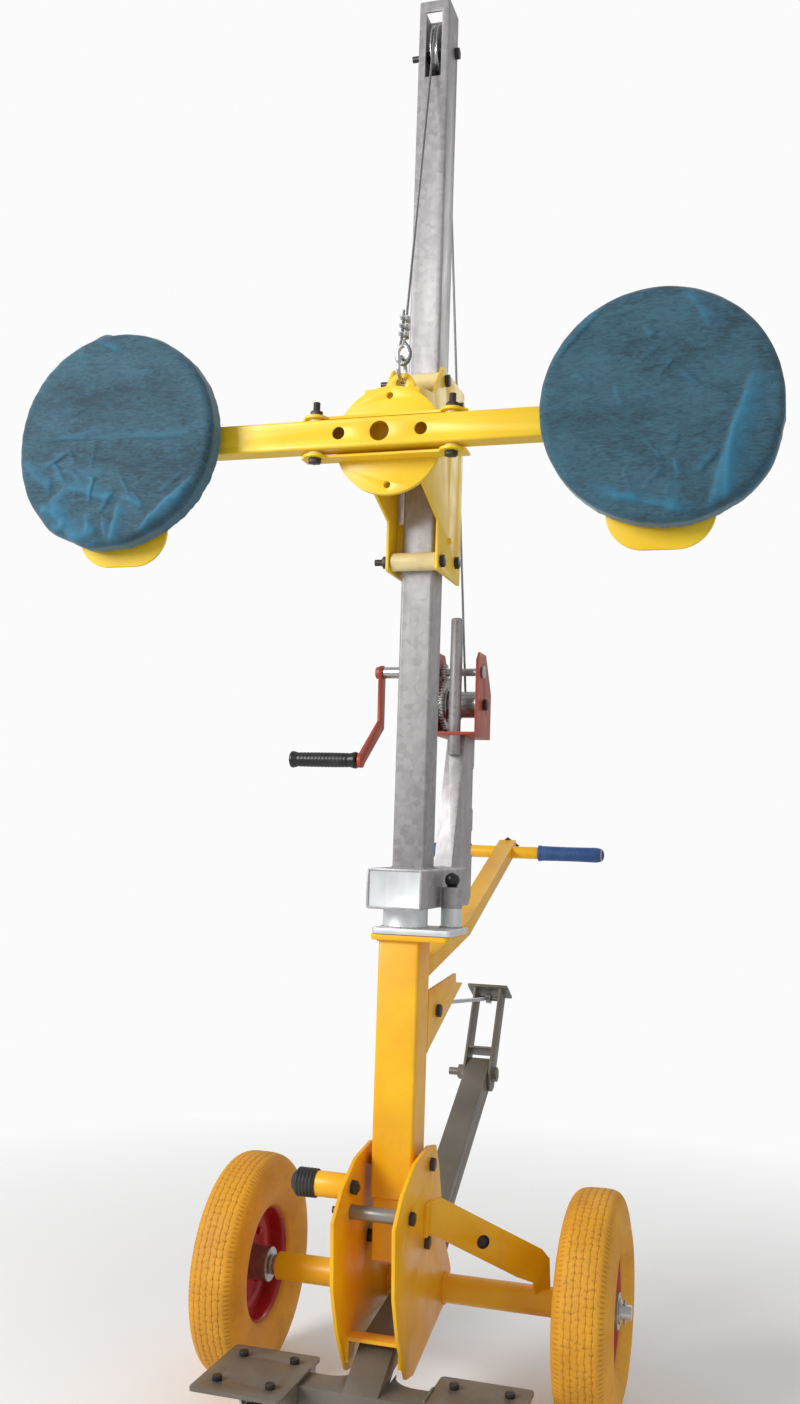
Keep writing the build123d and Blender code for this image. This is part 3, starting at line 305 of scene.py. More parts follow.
# %% [markdown]
# ## Bare and plated metal
# The mast is galvanised: hot zinc freezes into soft overlapping crystals and grey runs. Bolts and small
# fittings are zinc plated, black oxide or turned steel. Metal looks real when its roughness changes, so
# each one has its own grain, from crystals, fine brushing or turning marks.

# %% Galvanised and plated steel
def plated(name, colour, dull_colour, rough, grain=(1, 1, 1), grain_scale=160.0, crystals=0.0, metal=0.85):
    """Metal with stains, a fine grain that can run one way, and zinc crystals if they are asked for."""
    finish, shader = new_finish(name, colour, Metallic=metal)
    place = surface_place(finish)
    stain = spread(finish, noise(finish, surface_place(finish, (1, 1, 0.22)), 13.0, 5.0, 0.6), 0.32, 0.72)
    shade = two_colours(finish, stain, colour, dull_colour)
    fine = noise(finish, surface_place(finish, grain), grain_scale, 4.0)
    rough_value = spread(finish, combine(finish, "ADD", fine, stain), 0.5, 1.5, rough - 0.09, rough + 0.12)
    if crystals:
        flake = cells(finish, place, 95.0, "F1", "Color")
        tone = add(finish, "SeparateColor")
        join(finish, flake, tone.inputs["Color"])
        amount = spread(finish, tone.outputs["Red"], 0, 1, 0, crystals)
        shade = two_colours(finish, amount, shade, tuple(min(1, c * 1.55) for c in colour))
        rough_value = combine(finish, "ADD", rough_value, combine(finish, "MULTIPLY", amount, 0.16))
    join(finish, shade, shader.inputs["Base Color"])
    join(finish, rough_value, shader.inputs["Roughness"])
    raise_surface(finish, shader, fine, 0.00012, 0.4)
    return finish


galvanised_look = dict(colour=(0.43, 0.415, 0.42), dull_colour=(0.29, 0.275, 0.28), rough=0.46,
                       grain=(1, 1, 0.12), grain_scale=140.0, crystals=0.3, metal=0.6)
oxide_look = dict(colour=(0.035, 0.034, 0.035), dull_colour=(0.075, 0.066, 0.058), rough=0.42, metal=0.6)
galvanised = plated("galvanised", **galvanised_look)
zinc = plated("zinc", (0.62, 0.63, 0.64), (0.44, 0.44, 0.45), 0.30)
turned_steel = plated("turned_steel", (0.58, 0.56, 0.54), (0.40, 0.38, 0.36), 0.26, (12, 1, 1), 90.0)
rope_steel = plated("rope_steel", (0.42, 0.42, 0.42), (0.26, 0.26, 0.26), 0.36)
black_oxide = plated("black_oxide", **oxide_look)
print("five metals")

# %% [markdown]
# ## Moulded and woven finishes
# Foam tyres are matt and slightly porous, rubber is dark with a dusty bloom, hard plastic has a fine
# moulded grain and nylon lets a little light into its surface. The grips are soft blue plastic.

# %% Foam, rubber and plastic
def moulded(name, colour, worn_colour, rough, grain_scale=700.0, grain_depth=0.00015, **numbers):
    """Plastic, rubber or foam with worn patches and a fine grain."""
    finish, shader = new_finish(name, colour, **numbers)
    place = surface_place(finish)
    worn = spread(finish, noise(finish, place, 30.0, 5.0), 0.45, 0.75)
    join(finish, two_colours(finish, worn, colour, worn_colour), shader.inputs["Base Color"])
    join(finish, spread(finish, worn, 0, 1, rough, min(1.0, rough + 0.14)), shader.inputs["Roughness"])
    raise_surface(finish, shader, noise(finish, place, grain_scale, 3.0), grain_depth, 0.5)
    return finish


tyre_foam = moulded("tyre_foam", (0.86, 0.42, 0.035), (0.72, 0.33, 0.04), 0.62, 260.0, 0.0004)
cap_rubber = moulded("cap_rubber", (0.018, 0.018, 0.02), (0.05, 0.048, 0.045), 0.55)
pad_rubber = moulded("pad_rubber", (0.028, 0.028, 0.03), (0.06, 0.058, 0.055), 0.6)
black_plastic = moulded("black_plastic", (0.012, 0.012, 0.013), (0.03, 0.03, 0.03), 0.34)
caster_rubber = moulded("caster_rubber", (0.03, 0.03, 0.032), (0.10, 0.095, 0.09), 0.6)
blue_grip = moulded("blue_grip", (0.022, 0.085, 0.27), (0.05, 0.14, 0.36), 0.48)
cream_nylon = moulded("cream_nylon", (0.86, 0.72, 0.36), (0.74, 0.60, 0.30), 0.38, 300.0, 0.0001,
                      Subsurface_Weight=0.15, Subsurface_Scale=0.004)
button_red = moulded("button_red", (0.45, 0.02, 0.015), (0.32, 0.015, 0.012), 0.3)
print("eight moulded finishes")

# %% [markdown]
# The wheel centres are pressed steel in dark red enamel round a bare steel hub, all one engineering part.
# Two materials on two sets of faces would need the mesh cut at the hub. A mix that looks at the distance
# from the axle does the same without touching the mesh.

# %% Red wheel centre with a bare hub
axle_low, axle_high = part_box("axle_shaft")
axle_y, axle_z = (axle_low.y + axle_high.y) / 2, (axle_low.z + axle_high.z) / 2
hub_radius = 0.0315

rim_enamel, rim_shader = new_finish("rim_enamel", (0.42, 0.010, 0.016), Coat_Weight=0.3, Coat_Roughness=0.15)
radius = distance_from_axle(rim_enamel, axle_y, axle_z)
bare = spread(rim_enamel, radius, hub_radius + 0.0005, hub_radius, 0, 1)
rim_place = surface_place(rim_enamel)
red_tone = two_colours(rim_enamel, spread(rim_enamel, noise(rim_enamel, rim_place, 22.0, 5.0), 0.4, 0.75),
                       (0.48, 0.012, 0.018), (0.28, 0.008, 0.012))
steel_tone = two_colours(rim_enamel, noise(rim_enamel, rim_place, 120.0),
                         (0.30, 0.29, 0.28), (0.52, 0.50, 0.48))
join(rim_enamel, two_colours(rim_enamel, bare, red_tone, steel_tone), rim_shader.inputs["Base Color"])
join(rim_enamel, spread(rim_enamel, bare, 0, 1, 0, 0.9), rim_shader.inputs["Metallic"])
join(rim_enamel, spread(rim_enamel, noise(rim_enamel, rim_place, 60.0), 0.3, 0.7, 0.26, 0.42),
     rim_shader.inputs["Roughness"])
raise_surface(rim_enamel, rim_shader, noise(rim_enamel, rim_place, 400.0), 0.0002, 0.35)
print("the hub is bare within", hub_radius * 1000, "mm of the axle's line")

# %% [markdown]
# ## Soften the edges
# Sheet metal and drawn tube never have knife edges. The engineering parts have sharp ones, which catch no
# light. A Bevel modifier on a merged copy rounds each edge by a fraction of a millimetre to two, so a thin
# highlight runs along it. The engineering part is then hidden, and the rounded copy stands for it.

# %% Round the edges of each carried-over part
def plain_mesh(piece):
    """Turns a piece with modifiers into one without, at the origin."""
    bpy.context.view_layer.update()
    evaluated = piece.evaluated_get(bpy.context.evaluated_depsgraph_get())
    mesh = bpy.data.meshes.new_from_object(evaluated, preserve_all_data_layers=True,
                                           depsgraph=bpy.context.evaluated_depsgraph_get())
    mesh.transform(piece.matrix_world)
    piece.modifiers.clear()
    finished = shown(piece.name + "_plain", mesh)
    name = piece.name
    bpy.data.objects.remove(piece)
    finished.name = name
    return finished


def shade(piece, sharp_angle=38):
    """Smooth shading that breaks at edges sharper than the angle, in degrees."""
    piece.data.polygons.foreach_set("use_smooth", [True] * len(piece.data.polygons))
    piece.data.set_sharp_from_angle(angle=math.radians(sharp_angle))
    return piece


def wear(piece, finish, body, slot, *stands_for):
    """Gives a finished piece its material and its body, and hides the engineering parts it stands for."""
    piece.data.materials.clear()
    piece.data.materials.append(finish)
    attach(piece, body)
    if stands_for:
        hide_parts(*stands_for)
    return piece


def softened(node, width, finish, slot):
    """A copy of an engineering part with rounded edges that stands for it."""
    mesh = nodes[node].data.copy()
    work = bmesh.new()
    work.from_mesh(mesh)
    bmesh.ops.remove_doubles(work, verts=work.verts, dist=2e-6)
    bmesh.ops.dissolve_limit(work, angle_limit=math.radians(0.6), verts=work.verts, edges=work.edges)
    work.to_mesh(mesh)
    work.free()
    copy = shown("soft_" + node, mesh)
    rounding = copy.modifiers.new("rounding", "BEVEL")
    rounding.width, rounding.segments = width, 2
    rounding.limit_method, rounding.angle_limit = "ANGLE", math.radians(42)
    rounding.use_clamp_overlap = True
    copy = shade(plain_mesh(copy))
    return wear(copy, finish, body_of_node[node], slot, node)


softened_parts = {
    "yellow_paint": (yellow_paint, {
        "axle_tube": 0.0012, "cheek_plates": 0.001, "column_tube": 0.0012, "column_foot": 0.001,
        "column_flange": 0.0015, "brace": 0.001, "foot_peg": 0.001, "handle_arm": 0.0008,
        "handle_bar": 0.001}),
    "lemon_paint": (lemon_paint, {
        "carriage_plates": 0.001, "face_plate": 0.0012, "turntable": 0.0015, "crossbar": 0.0008,
        "pad_frames": 0.0015}),
    "base_steel": (base_paint, {
        "base_frame": 0.0012, "caster_shelves": 0.001, "leg_tube": 0.0012, "leg_foot": 0.001}),
    "galvanised_steel": (galvanised, {"mast_tube": 0.001, "winch_bracket": 0.001}),
    "zinc_steel": (zinc, {
        "caster_plates": 0.0008, "left_caster_fork": 0.0008, "right_caster_fork": 0.0008, "stay_rod": 0.0004,
        "sheave": 0.0005, "crank_shaft": 0.0004, "plunger_pin": 0.0008}),
    "bright_steel": (turned_steel, {"axle_shaft": 0.0008}),
    "dark_fasteners": (black_oxide, {
        "mast_bolts": 0.0006, "carriage_bolts": 0.0006, "guide_bolts": 0.0006}),
    "red_paint": (red_paint, {"winch_frame": 0.0008, "crank_arm": 0.001}),
    "cream_nylon": (cream_nylon, {
        "front_upper_roller": 0.0006, "front_lower_roller": 0.0006, "rear_upper_roller": 0.0006,
        "rear_lower_roller": 0.0006, "guide_bushes": 0.0008}),
    "pad_rubber": (pad_rubber, {"suction_pads": 0.002}),
    "pump_button": (button_red, {"left_pump": 0.001, "right_pump": 0.001}),
}
soft_pieces = {}
for slot_name, (finish, parts) in softened_parts.items():
    for part, width in parts.items():
        soft_pieces[part] = softened(part, width, finish, slot_name)
print(len(soft_pieces), "parts with rounded edges,",
      sum(len(p.data.polygons) for p in soft_pieces.values()), "faces")

# %% [markdown]
# ## Shapes turned on a lathe
# Grips, knobs, caps and small wheels are all round about one line, so one helper turns an outline about
# it. The outline is a list of pairs: how far along the line, and how far out. Closing both ends on the line
# itself leaves no holes at the poles.

# %% A lathe
def lathe(name, outline, start, direction, steps=64):
    """Turns (along, out) pairs, in metres, about a line through start."""
    along = Vector(direction).normalized()
    side = along.orthogonal().normalized()
    other = along.cross(side)
    work = bmesh.new()
    rings = []
    for distance, radius in outline:
        centre = Vector(start) + along * distance
        if radius < 1e-6:
            rings.append([work.verts.new(centre)])
            continue
        rings.append([
            work.verts.new(centre + radius * (side * math.cos(a) + other * math.sin(a)))
            for a in (2 * math.pi * step / steps for step in range(steps))
        ])
    for lower, upper in zip(rings, rings[1:]):
        for step in range(steps):
            after = (step + 1) % steps
            corners = [lower[step % len(lower)], lower[after % len(lower)],
                       upper[after % len(upper)], upper[step % len(upper)]]
            corners = list(dict.fromkeys(corners))
            if len(corners) > 2:
                work.faces.new(corners)
    bmesh.ops.recalc_face_normals(work, faces=work.faces)
    mesh = bpy.data.meshes.new(name)
    work.to_mesh(mesh)
    work.free()
    return shade(shown(name, mesh), 50)


def middle_of(node):
    """The middle and the size of an engineering part's box."""
    lowest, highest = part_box(node)
    return (lowest + highest) / 2, highest - lowest


def joined_up(name, pieces):
    """Several small meshes as one object."""
    work = bmesh.new()
    for piece in pieces:
        work.from_mesh(piece.data)
        bpy.data.objects.remove(piece)
    mesh = bpy.data.meshes.new(name)
    work.to_mesh(mesh)
    work.free()
    return shade(shown(name, mesh), 35)


print("lathe ready")

# %% [markdown]
# The push handle has a blue sleeve at each end, moulded with fine rings between a collar and a rounded
# nose. Fine rings could be bump, but they are wide enough to show in the outline, so they are turned.

# %% Blue handle sleeves
def ringed(start, end, radius, pitch, depth, waist=0.0):
    """Outline points for a run of fine rings, a little thinner in the middle."""
    count = round((end - start) / pitch)
    points = []
    for ring in range(count):
        at = start + ring * pitch
        slim = waist * math.sin(math.pi * (ring + 0.5) / count)
        crest = radius - slim
        points += [(at, crest - depth), (at + 0.3 * pitch, crest), (at + 0.7 * pitch, crest)]
    return points + [(start + count * pitch, radius - depth)]


grip_middle, grip_size = middle_of("handle_grips")
grip_inner, grip_outer = 0.082, grip_size.x / 2
for side_name, side in (("left", -1), ("right", 1)):
    length = grip_outer - grip_inner
    outline = [(0, 0.0142), (0, 0.0175), (0.001, 0.0185), (0.007, 0.0185), (0.008, 0.0175)]
    outline += ringed(0.010, length - 0.018, 0.0176, 0.0048, 0.0007, 0.0008)
    outline += [(length - 0.016, 0.0172), (length - 0.008, 0.0155), (length - 0.002, 0.0115), (length, 0.006),
                (length, 0)]
    sleeve = lathe(f"{side_name}_handle_sleeve", outline,
                   (side * grip_inner, grip_middle.y, grip_middle.z), (side, 0, 0))
    wear(sleeve, blue_grip, "base", "blue_grip", "handle_grips")
print("two sleeves,", round(length * 1000), "mm long")

# %% [markdown]
# The crank ends in a loose black grip with flared ends that turns on its pin. The foot peg has a ribbed
# rubber cap, and the index plunger a black ball knob.

# %% Crank grip, peg cap and ball knob
crank_grip_middle, crank_grip_size = middle_of("crank_grip")
grip_length, pin_radius = crank_grip_size.x, 0.0051
outline = [(0, pin_radius), (0, 0.0160), (0.002, 0.0170), (0.006, 0.0166), (0.014, 0.0142)]
outline += ringed(0.018, grip_length - 0.018, 0.0146, 0.0075, 0.0006, -0.0004)
outline += [(grip_length - 0.014, 0.0142), (grip_length - 0.006, 0.0166), (grip_length - 0.002, 0.0170),
            (grip_length, 0.0160), (grip_length, pin_radius), (0, pin_radius)]
crank_grip_end = (crank_grip_middle.x + grip_length / 2, crank_grip_middle.y, crank_grip_middle.z)
crank_sleeve = lathe("crank_sleeve", outline, crank_grip_end, (-1, 0, 0))
wear(crank_sleeve, black_plastic, "grip", "black_plastic", "crank_grip")

cap_middle, cap_size = middle_of("foot_peg_cap")
cap_length, cap_radius = cap_size.x, cap_size.z / 2
outline = [(0, cap_radius - 0.0028), (0, cap_radius - 0.001), (0.0015, cap_radius)]
outline += ringed(0.004, cap_length - 0.014, cap_radius, 0.0062, 0.0016)
outline += [(cap_length - 0.010, cap_radius - 0.003), (cap_length - 0.003, cap_radius - 0.010),
            (cap_length, cap_radius - 0.018), (cap_length, 0)]
peg_cap = lathe("foot_peg_rubber", outline,
                (cap_middle.x + cap_length / 2, cap_middle.y, cap_middle.z), (-1, 0, 0))
wear(peg_cap, cap_rubber, "base", "cap_rubber", "foot_peg_cap")

knob_middle, knob_size = middle_of("plunger_knob")
ball_radius = knob_size.x / 2
outline = [(-ball_radius - 0.004, 0.0082), (-ball_radius - 0.004, 0.0098), (-ball_radius * 0.82, 0.0098)]
outline += [(ball_radius * math.sin(a), ball_radius * math.cos(a))
            for a in (math.radians(-50 + 10 * step) for step in range(14))]
outline += [(ball_radius, 0)]
ball_middle = (knob_middle.x, knob_middle.y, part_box("plunger_knob")[1].z - ball_radius)
ball_knob = lathe("plunger_ball", outline, ball_middle, (0, 0, 1))
wear(ball_knob, black_plastic, "plunger", "black_plastic", "plunger_knob")
print("grip, cap and knob")

# %% [markdown]
# The casters have a grey wheel centre with a black tread, so each is turned in two pieces from the sizes of
# the engineering part: the tread outside, and a dished centre with a hub inside.

# %% Caster wheels
for side_name in ("left", "right"):
    node = f"{side_name}_caster_wheel"
    wheel_middle, wheel_size = middle_of(node)
    half_width, out = wheel_size.x / 2, wheel_size.z / 2
    tread = [(-half_width + 0.0015, out - 0.014), (-half_width, out - 0.009), (-half_width, out - 0.005),
             (-half_width + 0.0025, out - 0.0012), (-half_width + 0.006, out), (-0.0012, out),
             (0, out - 0.0008), (0.0012, out), (half_width - 0.006, out), (half_width - 0.0025, out - 0.0012),
             (half_width, out - 0.005), (half_width, out - 0.009), (half_width - 0.0015, out - 0.014),
             (-half_width + 0.0015, out - 0.014)]
    ring = lathe(f"{side_name}_caster_tread", tread, wheel_middle, (1, 0, 0), 96)
    wear(ring, caster_rubber, f"{side_name}_caster_roller", "caster_tread", node)
    centre = [(-half_width, 0.0051), (-half_width, 0.014), (-half_width + 0.004, 0.0155),
              (-half_width + 0.005, out - 0.020), (-half_width + 0.0022, out - 0.0155),
              (-half_width + 0.0022, out - 0.0139), (half_width - 0.0022, out - 0.0139),
              (half_width - 0.0022, out - 0.0155), (half_width - 0.005, out - 0.020),
              (half_width - 0.004, 0.0155), (half_width, 0.014), (half_width, 0.0051), (-half_width, 0.0051)]
    hub = lathe(f"{side_name}_caster_centre", centre, wheel_middle, (1, 0, 0), 64)
    wear(hub, zinc, f"{side_name}_caster_roller", "caster_tread", node)
print("two casters,", round(out * 2000), "mm across")

# %% [markdown]
# ## Foam tyres
# The main tyres are cast in one piece from foam, so they never go flat. Their tread has narrow grooves all
# the way round, short irregular cuts on each rib, and a notched shoulder. The outline is read from the
# engineering part, swept round the axle as a fine grid, and pushed in by the depth of the tread. A
# displacement texture could do this too, but here the tread is real in the mesh. The depth is also kept as an
# attribute, so that the material can paint shade into the cuts, darker where they are deeper.

# %% Read the outline of a tyre
def tyre_outline(node, wheel_x):
    """How far the engineering tyre reaches from the middle of its section, for each direction."""
    points = np.array([v.co for v in nodes[node].data.vertices])
    across = points[:, 0] - wheel_x
    outward = np.hypot(points[:, 1] - axle_y, points[:, 2] - axle_z) - section_middle
    direction, reach = np.arctan2(outward, across), np.hypot(across, outward)
    order = np.argsort(direction)
    return direction[order], reach[order]


section_middle, bead_radius = 0.150, 0.103  # from the axle: middle of the foam, and where it meets the rim
groove_places = (-0.0235, -0.0120, 0.0, 0.0120, 0.0235)
groove_width, groove_depth = 0.0008, 0.0012
rib_start, rib_width = -0.0295, 0.0117
cuts_round, cut_depth, cut_width = 104, 0.0015, 0.0012
notches_round, notch_depth = 150, 0.0014


def tread_depth(across, outward, turn, jitter):
    """How deep the tread is cut, in metres. All the values are arrays of the same shape."""
    on_tread = np.clip((outward - 0.030) / 0.008, 0, 1)
    weave = 0.0007 * np.sin(turn * 52)
    depth = sum(groove_depth * np.exp(-((across - place - weave) / groove_width) ** 2)
                for place in groove_places)
    ribs_across = (across - rib_start) / rib_width
    rib = np.clip(ribs_across.astype(int), 0, 4)
    in_rib = np.abs(ribs_across % 1 - 0.5)
    beat = (turn / (2 * math.pi) * cuts_round + 0.37 * rib + 0.25 * np.sin(5 * turn + 2 * rib)
            + in_rib * 0.7 * np.sin(turn * 9 + rib))
    index = np.round(beat).astype(int)
    spacing = 2 * math.pi * 0.2 / cuts_round
    near = np.abs(beat - index) * spacing
    strength = 0.35 + 0.65 * jitter[(index * 7 + rib * 31) % len(jitter)]
    depth = depth + cut_depth * strength * np.exp(-(near / cut_width) ** 2) * (in_rib < 0.40)
    depth = depth * (np.abs(across) < 0.0305) * on_tread
    shoulder = np.exp(-((np.abs(across) - 0.0365) / 0.0042) ** 2) * (outward > 0.024)
    wave = 0.5 + 0.5 * np.cos(turn * notches_round)
    return depth + notch_depth * shoulder * wave ** 3


print("tread:", len(groove_places), "grooves,", cuts_round, "cuts to a rib")

# %% Sweep the tyres
def foam_tyre(name, node, wheel_x, jitter, steps=600):
    """The engineering tyre's outline swept round the axle, with the tread cut into it."""
    directions, reaches = tyre_outline(node, wheel_x)
    # Degrees from, degrees to and steps: finest across the tread.
    spans = ((-90, -50, 5), (-50, 42, 24), (42, 138, 88), (138, 230, 24), (230, 270, 5))
    around = np.radians(np.concatenate([np.linspace(*span, endpoint=False) for span in spans]))
    folded = (around + math.pi) % (2 * math.pi) - math.pi
    reach = np.interp(folded, directions, reaches, period=2 * math.pi)
    turn = np.linspace(0, 2 * math.pi, steps, endpoint=False)
    across, outward = reach * np.cos(around), np.maximum(reach * np.sin(around), bead_radius - section_middle)
    grid_across, grid_turn = np.meshgrid(across, turn)
    grid_out, _ = np.meshgrid(outward, turn)
    depth = tread_depth(grid_across, grid_out, grid_turn, jitter)
    radius = section_middle + grid_out - depth
    x = wheel_x + grid_across * (1 - 0.5 * depth / 0.04)
    y, z = axle_y + radius * np.cos(grid_turn), axle_z + radius * np.sin(grid_turn)
    vertices = np.stack([x, y, z], -1).reshape(-1, 3)
    count = len(around)
    row, column = np.meshgrid(np.arange(steps), np.arange(count), indexing="ij")
    a = row * count + column
    b = row * count + (column + 1) % count
    c = (row + 1) % steps * count + (column + 1) % count
    d = (row + 1) % steps * count + column
    mesh = bpy.data.meshes.new(name)
    mesh.from_pydata(vertices.tolist(), [], np.stack([a, d, c, b], -1).reshape(-1, 4).tolist())
    # The depth of each cut is kept so that the material can paint shade into the cuts by it.
    cut = mesh.attributes.new("tread_cut", "FLOAT", "POINT")
    cut.data.foreach_set("value", np.clip(depth.ravel() / groove_depth, 0, 1).astype(np.float32))
    piece = shown(name, mesh)
    work = bmesh.new()
    work.from_mesh(mesh)
    bmesh.ops.recalc_face_normals(work, faces=work.faces)
    work.to_mesh(mesh)
    work.free()
    return shade(piece, 60)


foam_place = surface_place(tyre_foam)
foam_shader = tyre_foam.node_tree.nodes["Principled BSDF"]
tread_cut = add(tyre_foam, "Attribute", attribute_name="tread_cut")
# Painted shade: the foam is mixed towards a darker colour in the tread's cuts and grooves, more where they
# are deeper.
painted_cut_shade = spread(tyre_foam, tread_cut.outputs["Fac"], 0.1, 1.0, 0.0, 0.62)
foam_tone = two_colours(tyre_foam, spread(tyre_foam, noise(tyre_foam, foam_place, 14.0, 6.0), 0.35, 0.75),
                        (0.78, 0.37, 0.016), (0.62, 0.27, 0.014))
grime = spread(tyre_foam, noise(tyre_foam, foam_place, 90.0, 6.0, 0.8), 0.55, 0.8, 0, 0.5)
foam_dirty = two_colours(tyre_foam, grime, foam_tone, (0.42, 0.20, 0.035))
foam_colour = two_colours(tyre_foam, painted_cut_shade, foam_dirty, (0.34, 0.135, 0.012))
join(tyre_foam, foam_colour, foam_shader.inputs["Base Color"])

random_cuts = np.random.default_rng(7).random(97)
for side_name in ("left", "right"):
    wheel_middle, _ = middle_of(f"{side_name}_tyre")
    tyre = foam_tyre(f"{side_name}_foam_tyre", f"{side_name}_tyre", wheel_middle.x, random_cuts)
    wear(tyre, tyre_foam, f"{side_name}_wheel", "foam_tyre", f"{side_name}_tyre")
print("tyre faces:", len(tyre.data.polygons))

# %% [markdown]
# ## Cloth covers
# Each pad wears a cover of thin blue non-woven cloth, like a shower cap: a disc of cloth pulled over the
# rubber, with an elastic hem behind that gathers the edge. The cloth lies flat on the face, folds over the
# rim, sags a little at the bottom and bunches in small pleats at the back. A cloth simulation could settle
# a disc over the pad, but the folds it finds can't be steered. So the cap is built from rings, from the
# middle of the face to the hem, and each point is moved by a few named effects.

# %% Rings of a cloth cap
def smooth_step(value, start, end):
    """Rises gently from 0 at start to 1 at end."""
    t = np.clip((value - start) / (end - start), 0, 1)
    return t * t * (3 - 2 * t)


def crease(across, upward, start, end, width, height):
    """A fold along a line, sharp on one side and soft on the other. Lengths are shares of the radius."""
    run = np.subtract(end, start)
    length = np.hypot(*run)
    along = run / length
    share = ((across - start[0]) * along[0] + (upward - start[1]) * along[1]) / length
    aside = (upward - start[1]) * along[0] - (across - start[0]) * along[1]
    profile = np.where(aside > 0, np.exp(-1.2 * (aside / width) ** 2), np.exp(-(aside / (0.22 * width)) ** 2))
    return height * profile * smooth_step(share, -0.05, 0.3) * (1 - smooth_step(share, 0.8, 1.1))


def crumples(seed, centre, reach, count):
    """Short random creases round a place on the disc."""
    rng = np.random.default_rng(seed)
    lines = []
    for _ in range(count):
        start = np.add(centre, rng.uniform(-reach, reach, 2))
        heading, length = rng.uniform(0, 2 * np.pi), rng.uniform(0.12, 0.34)
        end = start + length * np.array([math.cos(heading), math.sin(heading)])
        lines.append((start, end, rng.uniform(0.03, 0.08), rng.uniform(0.0012, 0.0034)))
    return lines


def near_angle(turn, middle, width):
    """1 at one direction round the disc and falling to 0 at width radians away from it."""
    gap = np.abs((turn - middle + np.pi) % (2 * np.pi) - np.pi)
    return 1 - smooth_step(gap, 0, width)


def waves(turn, seed, slowest, fastest, count=9):
    """A smooth random ripple round the disc."""
    rng = np.random.default_rng(seed)
    total = np.zeros_like(turn)
    for _ in range(count):
        strength, ripples = rng.uniform(0.4, 1.0), rng.integers(slowest, fastest)
        total += strength * np.sin(ripples * turn + rng.uniform(0, 2 * np.pi))
    return total / count


def cloth_cap(name, node, seed, sag_middle, sag, folds, flap, turn_steps=330):
    """folds is a list of (start, end, width, height), in shares of the radius from the middle."""
    middle, size = middle_of(node)
    rim, depth = size.x / 2, size.y
    front_y, back_y = middle.y - depth / 2, middle.y + depth / 2
    hem_radius = 0.148
    face = [(rim * 0.93 * share, 0.0) for share in np.linspace(0.004, 1, 62)]
    bend = [(rim * 0.93 + rim * 0.07 * math.sin(a), rim * 0.07 * (1 - math.cos(a)))
            for a in np.linspace(0.25, math.pi / 2, 6)]
    side = [(rim, y) for y in np.linspace(bend[-1][1] + 0.004, depth - 0.010, 9)]
    tuck = [(rim - 0.002 - (rim - hem_radius) * share, depth - 0.006 + 0.006 * share)
            for share in np.linspace(0, 1, 9)]
    hem = [(hem_radius - 0.001, depth - 0.001), (hem_radius + 0.001, depth - 0.006)]
    rings = np.array(face + bend + side + tuck + hem)
    turn = np.linspace(0, 2 * np.pi, turn_steps, endpoint=False)
    radius, turns = np.meshgrid(rings[:, 0], turn)
    behind, _ = np.meshgrid(rings[:, 1], turn)
    out_share = radius / rim
    on_face = 1 - smooth_step(behind, 0, depth * 0.6)
    on_side = smooth_step(behind, 0.002, depth * 0.4)
    gathered = smooth_step(behind, depth * 0.55, depth)

    lift = 0.0012 * waves(turns, seed, 2, 7) * np.sin(3.1 * out_share + seed)
    lift *= smooth_step(out_share, 0.1, 0.6)
    lift += 0.0010 * waves(turns, seed + 1, 9, 24) * smooth_step(out_share, 0.55, 1.0)
    height_on_face = radius * np.sin(turns)
    lift += 0.0005 * np.sin(height_on_face * 260 + 2.2 * np.sin(radius * np.cos(turns) * 31 + seed))
    across, upward = radius * np.cos(turns) / rim, radius * np.sin(turns) / rim
    for fold in folds:
        lift += crease(across, upward, *fold) * (1 - smooth_step(out_share, 0.93, 1.02))
    droop = near_angle(turns, sag_middle, 1.15)
    billow = sag * droop * smooth_step(out_share, 0.72, 1.0) * (1 + 0.30 * waves(turns, seed + 2, 6, 19))
    pleats = 0.0028 * waves(turns, seed + 3, 22, 60, 12) + 0.0016 * waves(turns, seed + 4, 60, 100, 6)
    radius = radius + billow + gathered * pleats + on_side * 0.0016 * waves(turns, seed + 5, 10, 34)
    flap_at, flap_width, flap_height = flap
    radius += flap_height * near_angle(turns, flap_at, flap_width) ** 0.35 * on_side * (1 - gathered)
    y = front_y + behind - lift * on_face + gathered * 0.0022 * waves(turns, seed + 6, 20, 70, 10)
    y = np.minimum(y, back_y + 0.0025)
    x, z = middle.x + radius * np.cos(turns), middle.z + radius * np.sin(turns)
    rows, columns = x.shape
    vertices = np.stack([x, y, z], -1).reshape(-1, 3).tolist()
    vertices.append((middle.x, float(y[:, 0].mean()), middle.z))
    row, column = np.meshgrid(np.arange(rows), np.arange(columns - 1), indexing="ij")
    a, b = row * columns + column, row * columns + column + 1
    c, d = (row + 1) % rows * columns + column + 1, (row + 1) % rows * columns + column
    faces = np.stack([a, b, c, d], -1).reshape(-1, 4).tolist()
    faces += [(step * columns, (step + 1) % rows * columns, rows * columns) for step in range(rows)]
    mesh = bpy.data.meshes.new(name)
    mesh.from_pydata(vertices, [], faces)
    # Painted light: where the cloth stands off in a fold, on its side wall and in the sag, it is marked to be
    # brightened as if lit through the cloth.
    loose = mesh.attributes.new("cloth_painted_light", "FLOAT", "POINT")
    painted_fold_light = np.clip(lift / 0.006, 0, 1) + 0.55 * on_side + 20 * np.clip(billow, 0, 0.03)
    loose.data.foreach_set("value", np.append(painted_fold_light.ravel(), 0).astype(np.float32))
    cap = shown(name, mesh)
    thickness = cap.modifiers.new("thickness", "SOLIDIFY")
    thickness.thickness, thickness.offset = 0.0006, 1.0
    cap = shade(plain_mesh(cap), 80)
    area = sum(face.area for face in cap.data.polygons) / 2
    return cap, area


print("cap builder ready")
